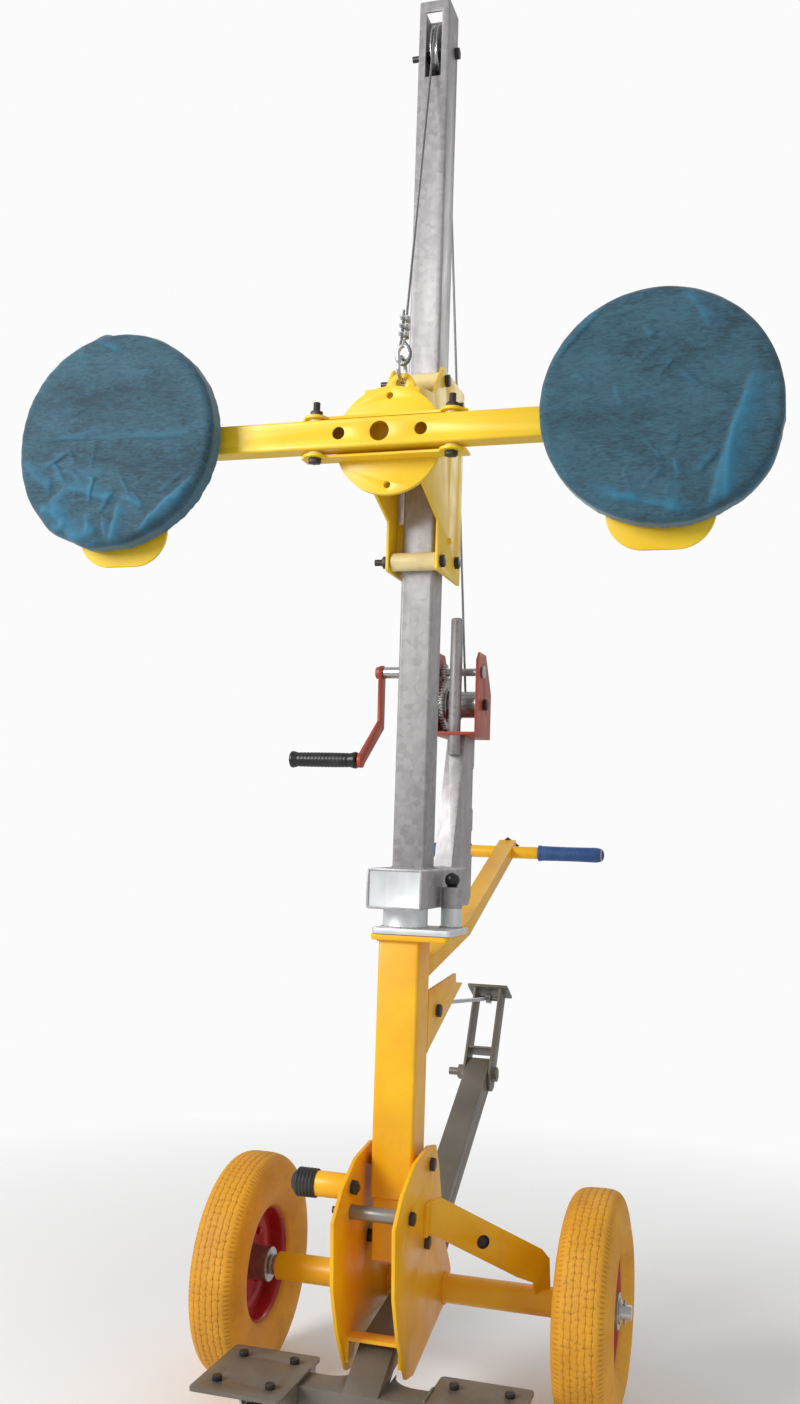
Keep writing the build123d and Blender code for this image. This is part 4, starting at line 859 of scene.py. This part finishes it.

# %% [markdown]
# The cloth is pressed from fine fibres. Fibres drift mostly one way, so the colour has long faint streaks.
# Light through the cloth is painted in: where the cloth lies on the black rubber it stays dark, and where it
# stands off in a fold, turns over the rim or sags, the material mixes in a painted light. How much was
# stored on the mesh for each point.

# %% Non-woven cloth
cover_cloth, cloth_shader = new_finish("cover_cloth", (0.035, 0.13, 0.21), Roughness=0.78, Sheen_Weight=0.35,
                                       Sheen_Roughness=0.45)
streak_place = surface_place(cover_cloth, (0.30, 1, 1))
streaks = noise(cover_cloth, streak_place, 210.0, 10.0, 1.2)
broad = noise(cover_cloth, surface_place(cover_cloth, (0.6, 1, 1)), 15.0, 8.0, 0.5)
mottled = combine(cover_cloth, "ADD", combine(cover_cloth, "MULTIPLY", streaks, 0.55),
                  combine(cover_cloth, "MULTIPLY", broad, 0.55))
dark_and_mid = two_colours(cover_cloth, spread(cover_cloth, mottled, 0.43, 0.66), (0.013, 0.046, 0.070),
                           (0.034, 0.115, 0.170))
# Painted light: the cloth colour is mixed towards a bright teal by the stored amount, as if lit through where
# it stands off.
fold_light_input = add(cover_cloth, "Attribute", attribute_name="cloth_painted_light")
cloth_tone_and_light = two_colours(cover_cloth, spread(cover_cloth, fold_light_input.outputs["Fac"], 0.12, 1.0, 0, 0.7),
                         dark_and_mid, (0.020, 0.190, 0.320))
join(cover_cloth, cloth_tone_and_light, cloth_shader.inputs["Base Color"])
fibres = noise(cover_cloth, surface_place(cover_cloth, (0.25, 1, 1)), 900.0, 4.0)
points = spread(cover_cloth, cells(cover_cloth, surface_place(cover_cloth), 620.0), 0.1, 0.35)
pressed = combine(cover_cloth, "ADD", fibres, combine(cover_cloth, "MULTIPLY", points, 0.5))
raise_surface(cover_cloth, cloth_shader, pressed, 0.0004, 0.6)
print("cloth streaks run along X")

# %% Make both covers
left_folds = [((-0.95, 0.02), (0.9, -0.05), 0.09, 0.0022), ((-0.55, -0.45), (0.05, -0.62), 0.10, 0.0045),
              ((-0.62, -0.55), (-0.30, -0.98), 0.10, 0.0050), ((0.85, -0.42), (0.30, -0.92), 0.08, 0.0050),
              ((0.12, -0.60), (0.02, -1.0), 0.08, 0.0045), ((-0.30, 0.98), (0.05, 0.80), 0.07, 0.0030),
              ((-0.95, -0.20), (-0.60, -0.50), 0.09, 0.0035)]
left_folds += crumples(5, (-0.35, -0.62), 0.38, 26) + crumples(6, (0.35, -0.60), 0.3, 9)
right_folds = [((0.80, 0.30), (0.40, -0.92), 0.13, 0.0060), ((0.62, -0.10), (0.52, -0.80), 0.05, 0.0035),
               ((-0.55, -0.75), (0.30, -0.93), 0.07, 0.0040), ((0.18, 0.98), (0.42, 0.62), 0.08, 0.0032),
               ((-0.92, 0.35), (-0.45, 0.86), 0.07, 0.0030)]
right_folds += crumples(7, (0.05, -0.75), 0.34, 14) + crumples(8, (-0.1, 0.45), 0.45, 8)
cap_places = {
    "left": dict(seed=11, sag_middle=math.radians(-122), sag=0.014, folds=left_folds,
                 flap=(math.radians(101), 0.11, 0.0085)),
    "right": dict(seed=29, sag_middle=math.radians(-50), sag=0.008, folds=right_folds,
                  flap=(math.radians(-38), 0.3, 0.005)),
}
for side_name, settings in cap_places.items():
    cap, cloth_area = cloth_cap(f"{side_name}_cloth_cover", f"{side_name}_cover", **settings)
    wear(cap, cover_cloth, "head", "cover_cloth", f"{side_name}_cover")

# %% [markdown]
# ## Wire rope
# The hoist rope is laid from six strands twisted round a core. Modelling each strand by hand would be
# endless, and a twisted texture shows no strands in the outline. A Geometry Nodes tree does it: it turns a
# path into a curve, tilts the curve steadily along its length, and sweeps a ring of six small circles along
# it. The tilt makes the circles wind round each other, with the rope's lay length as an input.

# %% A tree that lays wire rope
def new_tree(name, inputs):
    """An empty Geometry Nodes tree with named number inputs, ready to be wired."""
    tree = bpy.data.node_groups.new(name, "GeometryNodeTree")
    tree.interface.new_socket(name="Geometry", in_out="INPUT", socket_type="NodeSocketGeometry")
    for label, kind, value in inputs:
        socket = tree.interface.new_socket(name=label, in_out="INPUT", socket_type="NodeSocket" + kind)
        if value is not None:
            socket.default_value = value
    tree.interface.new_socket(name="Geometry", in_out="OUTPUT", socket_type="NodeSocketGeometry")
    source, result = tree.nodes.new("NodeGroupInput"), tree.nodes.new("NodeGroupOutput")
    return tree, source, result


def tree_node(tree, kind, wires=(), numbers=(), **settings):
    """A node with its settings, its plain numbers and its incoming wires."""
    node = tree.nodes.new(kind)
    for name, value in settings.items():
        setattr(node, name, value)
    for socket, value in numbers:
        node.inputs[socket].default_value = value
    for socket, output in wires:
        tree.links.new(output, node.inputs[socket])
    return node


rope_tree, rope_in, rope_out = new_tree("lay_wire_rope", [
    ("Lay Length", "Float", 0.032), ("Strand Radius", "Float", 0.00088), ("Rope Radius", "Float", 0.0025),
    ("Strands", "Int", 6), ("Step", "Float", 0.004), ("Finish", "Material", None)])
line = tree_node(rope_tree, "GeometryNodeMeshToCurve", [("Mesh", rope_in.outputs["Geometry"])])
spaced = tree_node(rope_tree, "GeometryNodeResampleCurve",
                   [("Curve", line.outputs["Curve"]), ("Length", rope_in.outputs["Step"])], mode="LENGTH")
along = tree_node(rope_tree, "GeometryNodeSplineParameter")
turns_made = tree_node(rope_tree, "ShaderNodeMath",
                       [(0, along.outputs["Length"]), (1, rope_in.outputs["Lay Length"])], operation="DIVIDE")
tilt_angle = tree_node(rope_tree, "ShaderNodeMath", [(0, turns_made.outputs[0])], [(1, 2 * math.pi)],
                       operation="MULTIPLY")
twisted = tree_node(rope_tree, "GeometryNodeSetCurveTilt",
                    [("Curve", spaced.outputs["Curve"]), ("Tilt", tilt_angle.outputs[0])])
ring_radius = tree_node(rope_tree, "ShaderNodeMath",
                        [(0, rope_in.outputs["Rope Radius"]), (1, rope_in.outputs["Strand Radius"])],
                        operation="SUBTRACT")
ring_points = tree_node(rope_tree, "GeometryNodeMeshCircle",
                        [("Vertices", rope_in.outputs["Strands"]), ("Radius", ring_radius.outputs[0])])
strand_circle = tree_node(rope_tree, "GeometryNodeCurvePrimitiveCircle",
                          [("Radius", rope_in.outputs["Strand Radius"])], [("Resolution", 7)])
strand_ring = tree_node(rope_tree, "GeometryNodeInstanceOnPoints", [
    ("Points", ring_points.outputs["Mesh"]), ("Instance", strand_circle.outputs["Curve"])])
real_ring = tree_node(rope_tree, "GeometryNodeRealizeInstances",
                      [("Geometry", strand_ring.outputs["Instances"])])
swept = tree_node(rope_tree, "GeometryNodeCurveToMesh",
                  [("Curve", twisted.outputs["Curve"]), ("Profile Curve", real_ring.outputs["Geometry"])],
                  [("Fill Caps", True)])
smooth = tree_node(rope_tree, "GeometryNodeSetShadeSmooth", [("Geometry", swept.outputs["Mesh"])])
finished_rope = tree_node(rope_tree, "GeometryNodeSetMaterial", [
    ("Geometry", smooth.outputs["Geometry"]), ("Material", rope_in.outputs["Finish"])])
rope_tree.links.new(finished_rope.outputs["Geometry"], rope_out.inputs["Geometry"])


def grow(name, tree, paths, **values):
    """Runs a tree on one or more open paths and keeps the result as a plain mesh."""
    vertices, edges = [], []
    for path in paths:
        first = len(vertices)
        vertices += [tuple(p) for p in path]
        edges += [(first + i, first + i + 1) for i in range(len(path) - 1)]
    mesh = bpy.data.meshes.new(name)
    mesh.from_pydata(vertices, edges, [])
    piece = shown(name, mesh)
    modifier = piece.modifiers.new("grow", "NODES")
    modifier.node_group = tree
    named = {item.name: item.identifier for item in tree.interface.items_tree if item.in_out == "INPUT"}
    for label, value in values.items():
        modifier[named[label.replace("_", " ")]] = value
    return plain_mesh(piece)


print("rope tree:", len(rope_tree.nodes), "nodes")

# %% [markdown]
# The rope runs from the drum up behind the mast, over the sheave, and down in front to the carriage. The
# front run is longer when the carriage is low; here it is one straight piece along the engineering cable.

# %% Lay the hoist rope
def line_of(node, cuts=2):
    """The middle line of a straight round bar, from its top to its bottom."""
    points = np.array([v.co for v in nodes[node].data.vertices])
    top = points[points[:, 2] > points[:, 2].max() - 0.006].mean(0)
    bottom = points[points[:, 2] < points[:, 2].min() + 0.006].mean(0)
    return [Vector(top + (bottom - top) * i / (cuts - 1)) for i in range(cuts)]


def on_circle(centre, reach, angle, x=0):
    """A point of a circle round a line along X."""
    return x, centre.y + reach * math.cos(angle), centre.z + reach * math.sin(angle)


sheave_reach, drum_reach = 0.050, 0.0300  # from each turning line to the middle of the rope
sheave_middle, _ = middle_of("sheave")
drum_low, drum_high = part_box("winch_drum")
drum_centre = Vector((0, (drum_low.y + drum_high.y) / 2, (drum_low.z + drum_high.z) / 2))
front_top, front_bottom = line_of("front_cable")
run = drum_centre - sheave_middle
rear_turn = math.atan2(run.z, run.y) + math.acos((sheave_reach - drum_reach) / math.hypot(run.y, run.z))
front_turn = math.atan2(front_top.z - sheave_middle.z, front_top.y - sheave_middle.y)
over = [on_circle(sheave_middle, sheave_reach, a)
        for a in np.linspace(front_turn % (2 * math.pi), rear_turn, 26)]
leaves_drum = on_circle(drum_centre, drum_reach, rear_turn)
settings = {"Finish": rope_steel, "Step": 0.004}
rear_rope = grow("rear_hoist_rope", rope_tree, [over + [leaves_drum]], **settings)
wear(rear_rope, rope_steel, "mast", "wire_rope", "rear_cable")
front_rope = grow("front_hoist_rope", rope_tree, [[front_top, front_bottom]], **settings)
front_rope.data.materials.clear()
front_rope.data.materials.append(rope_steel)
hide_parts("front_cable")
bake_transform(front_rope)
print("rope:", len(rear_rope.data.polygons) + len(front_rope.data.polygons), "faces")

# %% [markdown]
# Three wraps of rope stay on the drum, and the drum carries the big gear. Drum and gear are the engineering
# part with softened edges, and the wraps are laid with the same tree as the rope.

# %% Drum, gear and wraps
softened("winch_drum", 0.0004, zinc, "zinc_steel")
wraps, wrap_reach, wrap_pitch, first_wrap_x = 3.0, 0.0299, 0.0054, -0.021
wrap = [on_circle(drum_centre, wrap_reach, a + rear_turn, first_wrap_x + wrap_pitch * a / (2 * math.pi))
        for a in np.linspace(-0.4, 2 * math.pi * wraps, 110)]
drum_wraps = grow("drum_wraps", rope_tree, [wrap], **settings)
wear(drum_wraps, rope_steel, "drum", "wire_rope")
print("drum wraps:", len(drum_wraps.data.polygons), "faces")

# %% [markdown]
# At its end the rope turns back round a pear-shaped thimble and is held by three clips. The engineering
# part keeps the clips, thimble and hook as simple rings. Here the clips get their nuts, and a loop of real
# strands lies round the thimble.

# %% Rope end, thimble and clips
softened("rope_fitting", 0.0006, zinc, "zinc_steel")
lean = (front_bottom - front_top).normalized()
neck = front_bottom + lean * 0.062
eye = neck + Vector((0, 0, -0.015))
loop = [front_bottom + lean * 0.001, front_bottom + lean * 0.030, front_bottom + lean * 0.052]
loop += [eye + Vector((0.0135 * math.sin(a), 0, 0.0195 * math.cos(a))) for a in np.linspace(0.5, 5.75, 22)]
loop += [front_bottom + lean * down + Vector((aside, 0, 0))
         for down, aside in ((0.050, -0.0058), (0.020, -0.0056), (-0.012, -0.0064))]
rope_loop = grow("rope_loop", rope_tree, [loop], **settings)
wear(rope_loop, rope_steel, "carriage", "wire_rope")
clip_places, clip_nuts = (0.0085, 0.0245, 0.0405), []
for down in clip_places:
    place = front_bottom + lean * down
    for side in (-1, 1):
        nut = lathe("clip_nut", [(0, 0), (0, 0.0036), (0.0055, 0.0036), (0.0055, 0.0022), (0.0095, 0.0022),
                                 (0.0095, 0)], place + Vector((side * 0.0052, -0.0075, 0)), (0, -1, 0), 6)
        clip_nuts.append(nut)
wear(joined_up("rope_clip_nuts", clip_nuts), zinc, "carriage", "zinc_steel")
print(len(clip_places), "clips with two nuts each")

# %% [markdown]
# ## Wheel centres
# A wheel centre is a rim rolled from strip with a pressed dish welded inside it and a hub through the
# dish. It is round but for its four bolts, so it is turned on the lathe as one closed outline, and the
# hexagon heads are turned with six steps.

# %% Turn the wheel centres
def sealed(piece):
    """Closes the seam of an outline that starts and ends at the same ring, and turns its faces outwards."""
    work = bmesh.new()
    work.from_mesh(piece.data)
    bmesh.ops.remove_doubles(work, verts=work.verts, dist=1e-6)
    bmesh.ops.recalc_face_normals(work, faces=work.faces)
    work.to_mesh(piece.data)
    work.free()
    return piece


bead, bore, stud_circle = 0.1027, 0.0132, 0.062  # radii: of the rim, the hub's hole and the bolts
dish = [(-0.042, bore), (-0.042, 0.0300), (-0.0412, 0.0310), (0.001, 0.0310), (0.0044, 0.0345),
        (0.005, 0.040), (0.005, 0.074), (0.0035, 0.079), (0.0005, 0.084), (-0.0005, 0.090), (-0.0008, 0.0970),
        (-0.024, 0.0970), (-0.027, 0.0985), (-0.0300, 0.1005), (-0.0310, bead - 0.0008), (-0.0305, bead),
        (0.0305, bead), (0.0310, bead - 0.0008), (0.0300, 0.1005), (0.027, 0.0985), (0.024, 0.0970),
        (0.0045, 0.0970), (0.0052, 0.090), (0.0065, 0.086), (0.0095, 0.081), (0.0110, 0.075), (0.0110, 0.038),
        (0.0118, 0.0330), (0.0150, 0.0310), (0.0412, 0.0310), (0.042, 0.0300), (0.042, bore), (-0.042, bore)]
for side_name, side in (("left", -1), ("right", 1)):
    wheel_middle, _ = middle_of(f"{side_name}_tyre")
    made = [sealed(lathe("dish", dish, wheel_middle, (side, 0, 0), 96))]
    for quarter in range(4):
        angle = math.radians(45 + 90 * quarter)
        stud = Vector((wheel_middle.x, axle_y + stud_circle * math.cos(angle),
                       axle_z + stud_circle * math.sin(angle)))
        head = [(-0.002, 0), (-0.002, 0.0055), (-0.001, 0.0074), (0.0048, 0.0074), (0.0048, 0)]
        nut = [(0.0112, 0), (0.0112, 0.0074), (0.017, 0.0074), (0.018, 0.0055), (0.018, 0)]
        made += [lathe("stud", part, stud, (side, 0, 0), 6) for part in (head, nut)]
    centre = joined_up(f"{side_name}_wheel_centre", made)
    wear(centre, rim_enamel, f"{side_name}_wheel", "rim_red", f"{side_name}_rim")
print("wheel centre faces:", len(centre.data.polygons))

# %% [markdown]
# ## Two parts with two finishes
# The spacer tube in front of the column is turned steel among black bolts, and the beam's end plate, the
# hub and the turning plate are freshly plated beside a weathered tube. Each pair is one welded or bolted
# engineering part, so one material changes from finish to finish by where the surface is.

# %% Mixed finishes
def under(finish, value, limit, blur=0.0002):
    """1 where the value is under the limit and 0 where it is over, with a short blur between."""
    return spread(finish, value, limit + blur, limit - blur, 0, 1)


def size_of(finish, value, middle=0):
    """How far the value is from the middle, either way."""
    return combine(finish, "ABSOLUTE", combine(finish, "SUBTRACT", value, middle) if middle else value, 0)


def repaint(finish, where, colour):
    """Changes the material's colour where the amount is 1."""
    target = finish.node_tree.nodes["Principled BSDF"].inputs["Base Color"]
    join(finish, two_colours(finish, where, target.links[0].from_socket, colour), target)


bolt_finish = plated("bolt_finish", **oxide_look)
rod_y, rod_z, rod_radius, rod_half_length = axle_y - 0.246, 0.385, 0.0155, 0.0490
bolt_x, _, _ = axis_values(bolt_finish)
on_the_rod = combine(bolt_finish, "MULTIPLY",
                     under(bolt_finish, size_of(bolt_finish, bolt_x), rod_half_length),
                     under(bolt_finish, distance_from_axle(bolt_finish, rod_y, rod_z), rod_radius, 0.0005))
rod_tone = two_colours(bolt_finish, noise(bolt_finish, surface_place(bolt_finish, (0.3, 1, 1)), 70.0, 5.0),
                       (0.20, 0.195, 0.18), (0.40, 0.39, 0.36))
repaint(bolt_finish, on_the_rod, rod_tone)
softened("base_bolts", 0.0006, bolt_finish, "dark_fasteners")

beam_finish = plated("beam_finish", **galvanised_look)
beam_x, beam_y, beam_z = axis_values(beam_finish)
beam_front, beam_bottom, beam_middle_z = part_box("slew_beam")[0].y, 0.888, 0.923
plate_half_width, plate_half_height, plate_depth = 0.0456, 0.0306, 0.0085
end_plate = combine(beam_finish, "MULTIPLY",
                    under(beam_finish, size_of(beam_finish, beam_x), plate_half_width),
                    under(beam_finish, size_of(beam_finish, beam_z, beam_middle_z), plate_half_height))
end_plate = combine(beam_finish, "MULTIPLY", end_plate,
                    under(beam_finish, beam_y, beam_front + plate_depth, 0.0005))
hub_and_plate = under(beam_finish, beam_z, beam_bottom + 0.00025, 0.00025)
repaint(beam_finish, combine(beam_finish, "MAXIMUM", end_plate, hub_and_plate), (0.74, 0.77, 0.77))
softened("slew_beam", 0.0008, beam_finish, "galvanised_steel")
print("two mixed finishes")

# %% [markdown]
# ## Plugs
# The open end of the handle arm and the round hole of the brace are closed with black plastic plugs.

# %% Two plugs
arm_end = Vector((0, axle_y + 0.7070, 1.0002))
arm_way = Vector((0, 0.452, 0.170)).normalized()
plug = lathe("handle_arm_plug", [(0.0002, 0), (0.0002, 0.0235), (0.002, 0.0245), (0.004, 0.0215), (0.004, 0)],
             (0, 0, 0), (0, 1, 0), 4)
up_the_arm = Matrix.Rotation(math.atan2(arm_way.z, arm_way.y), 4, "X")
flattened, squared_up = Matrix.Diagonal((1.12, 1, 0.86, 1)), Matrix.Rotation(math.radians(45), 4, "Y")
plug.data.transform(Matrix.Translation(arm_end) @ (up_the_arm @ flattened @ squared_up))
wear(plug, black_plastic, "base", "black_plastic")
brace_hole, brace_normal = (0.1386, axle_y - 0.0745, 0.312), Vector((0.5735, -0.8192, 0))
plug_outline = [(-0.003, 0), (-0.003, 0.0150), (-0.0006, 0.0150), (-0.0004, 0.0117), (0.0045, 0.0117),
                (0.0045, 0.0105), (0.0015, 0.0090), (0.0012, 0)]
brace_plug = lathe("brace_plug", plug_outline, brace_hole, brace_normal, 40)
wear(brace_plug, black_plastic, "base", "black_plastic")
print("plugs fitted")

# %% [markdown]
# ## Weld beads
# Welded steel shows a bead in every corner: a row of overlapping ripples, each a frozen drop. A Geometry
# Nodes tree walks along a path, drops a squashed ball every few millimetres in line with the path, and
# gives each one a slightly different size from a fixed seed.

# %% A tree that lays weld beads
weld_tree, weld_in, weld_out = new_tree("lay_weld", [
    ("Spacing", "Float", 0.0030), ("Bead Radius", "Float", 0.0026), ("Seed", "Int", 3),
    ("Finish", "Material", None)])
seam = tree_node(weld_tree, "GeometryNodeMeshToCurve", [("Mesh", weld_in.outputs["Geometry"])])
drops_at = tree_node(weld_tree, "GeometryNodeResampleCurve", [
    ("Curve", seam.outputs["Curve"]), ("Length", weld_in.outputs["Spacing"])], mode="LENGTH")
tangent = tree_node(weld_tree, "GeometryNodeInputTangent")
facing = tree_node(weld_tree, "FunctionNodeAlignRotationToVector",
                   [("Vector", tangent.outputs["Tangent"])], axis="X")
ball = tree_node(weld_tree, "GeometryNodeMeshIcoSphere", [("Radius", weld_in.outputs["Bead Radius"])],
                 [("Subdivisions", 2)])
drop_sizes = tree_node(weld_tree, "FunctionNodeRandomValue", [("Seed", weld_in.outputs["Seed"])],
                       data_type="FLOAT_VECTOR")
for end, size in enumerate(((0.75, 0.80, 0.80), (0.95, 1.25, 1.25))):
    drop_sizes.inputs[end].default_value = size
drops = tree_node(weld_tree, "GeometryNodeInstanceOnPoints",
                  [("Points", drops_at.outputs["Curve"]), ("Instance", ball.outputs["Mesh"]),
                   ("Rotation", facing.outputs["Rotation"]), ("Scale", drop_sizes.outputs[0])])
real_drops = tree_node(weld_tree, "GeometryNodeRealizeInstances", [("Geometry", drops.outputs["Instances"])])
smooth_drops = tree_node(weld_tree, "GeometryNodeSetShadeSmooth",
                         [("Geometry", real_drops.outputs["Geometry"])])
finished_drops = tree_node(weld_tree, "GeometryNodeSetMaterial", [
    ("Geometry", smooth_drops.outputs["Geometry"]), ("Material", weld_in.outputs["Finish"])])
weld_tree.links.new(finished_drops.outputs["Geometry"], weld_out.inputs["Geometry"])


def round_x(x, y, z, radius, steps=28):
    """A closed path round a tube that runs along X."""
    angles = np.linspace(0, 2 * math.pi, steps)
    return [(x, y + radius * math.cos(a), z + radius * math.sin(a)) for a in angles]


def round_z(x, y, z, radius, steps=28):
    """A closed path round a tube that stands upright."""
    angles = np.linspace(0, 2 * math.pi, steps)
    return [(x + radius * math.cos(a), y + radius * math.sin(a), z) for a in angles]


def box_z(y, z, half_x, half_y):
    """A closed path round a square tube that stands upright."""
    corners = [(half_x, half_y), (-half_x, half_y), (-half_x, -half_y), (half_x, -half_y), (half_x, half_y)]
    return [(x, y + across, z) for x, across in corners]


column_y, mast_y, plate_front = axle_y - 0.145, axle_y - 0.105, axle_y - 0.337
both = (-1, 1)
frame_seams = [round_x(side * x, axle_y, axle_z, 0.0252) for side in both for x in (0.0556, 0.0484)]
frame_seams += [round_x(-0.0556, axle_y - 0.246, 0.425, 0.0212), box_z(column_y, 0.8325, 0.0378, 0.0378)]
shelf_seams = [[(side * 0.106, y, 0.1302) for y in (axle_y - 0.316, axle_y - 0.260)] for side in both]
mast_seams = [box_z(mast_y, 0.9583, 0.0303, 0.0353), round_z(0, column_y, 0.8543, 0.0402),
              round_z(0.072, axle_y - 0.097, 0.8543, 0.0192)]
mast_seams += [[(side * 0.0182, axle_y + 0.1003, z) for z in (0.890, 0.956)] for side in both]
head_seams = [[(x, plate_front - 0.0006, z) for x in (-0.078, 0.078)] for z in (1.6487, 1.7213)]
head_seams += [[(side * 0.379, axle_y - 0.389, z) for z in (1.662, 1.708)] for side in both]
weld_jobs = (("frame_welds", frame_seams, yellow_paint, "base", "yellow_paint"),
             ("shelf_welds", shelf_seams, base_paint, "base", "base_steel"),
             ("mast_welds", mast_seams, galvanised, "mast", "galvanised_steel"),
             ("head_welds", head_seams, lemon_paint, "head", "lemon_paint"))
for name, seams, finish, body, slot in weld_jobs:
    beads = grow(name, weld_tree, seams, Finish=finish)
    wear(beads, finish, body, slot)
    print(name, len(beads.data.polygons), "faces")

# %% [markdown]
# ## The floor
# The lift stands on a pale round floor that fades out at its edge, so that no horizon shows behind it.

# %% Lay the floor
floor_finish, floor_shader = new_finish("floor_paper", (0.93, 0.93, 0.93), Roughness=0.92)
floor_x, floor_y, _ = axis_values(floor_finish)
from_middle = combine(floor_finish, "POWER", combine(floor_finish, "ADD",
                      combine(floor_finish, "MULTIPLY", floor_x, floor_x),
                      combine(floor_finish, "MULTIPLY", floor_y, floor_y)), 0.5)
join(floor_finish, spread(floor_finish, from_middle, 0.75, 2.3, 1.0, 0.0), floor_shader.inputs["Alpha"])
floor = lathe("floor", [(0, 2.35), (0, 1.4), (0, 0)], (0, 0, 0), (0, 0, 1), 96)
floor.data.materials.append(floor_finish)
print("floor laid")

# %% [markdown]
# ## Finish
# The engineering parts that are still shown, with no finished piece standing for them, are listed.

# %% List what is left
left_bare = [name for name, part in nodes.items() if not part.hide_render]
print("parts without a finished piece:", left_bare)
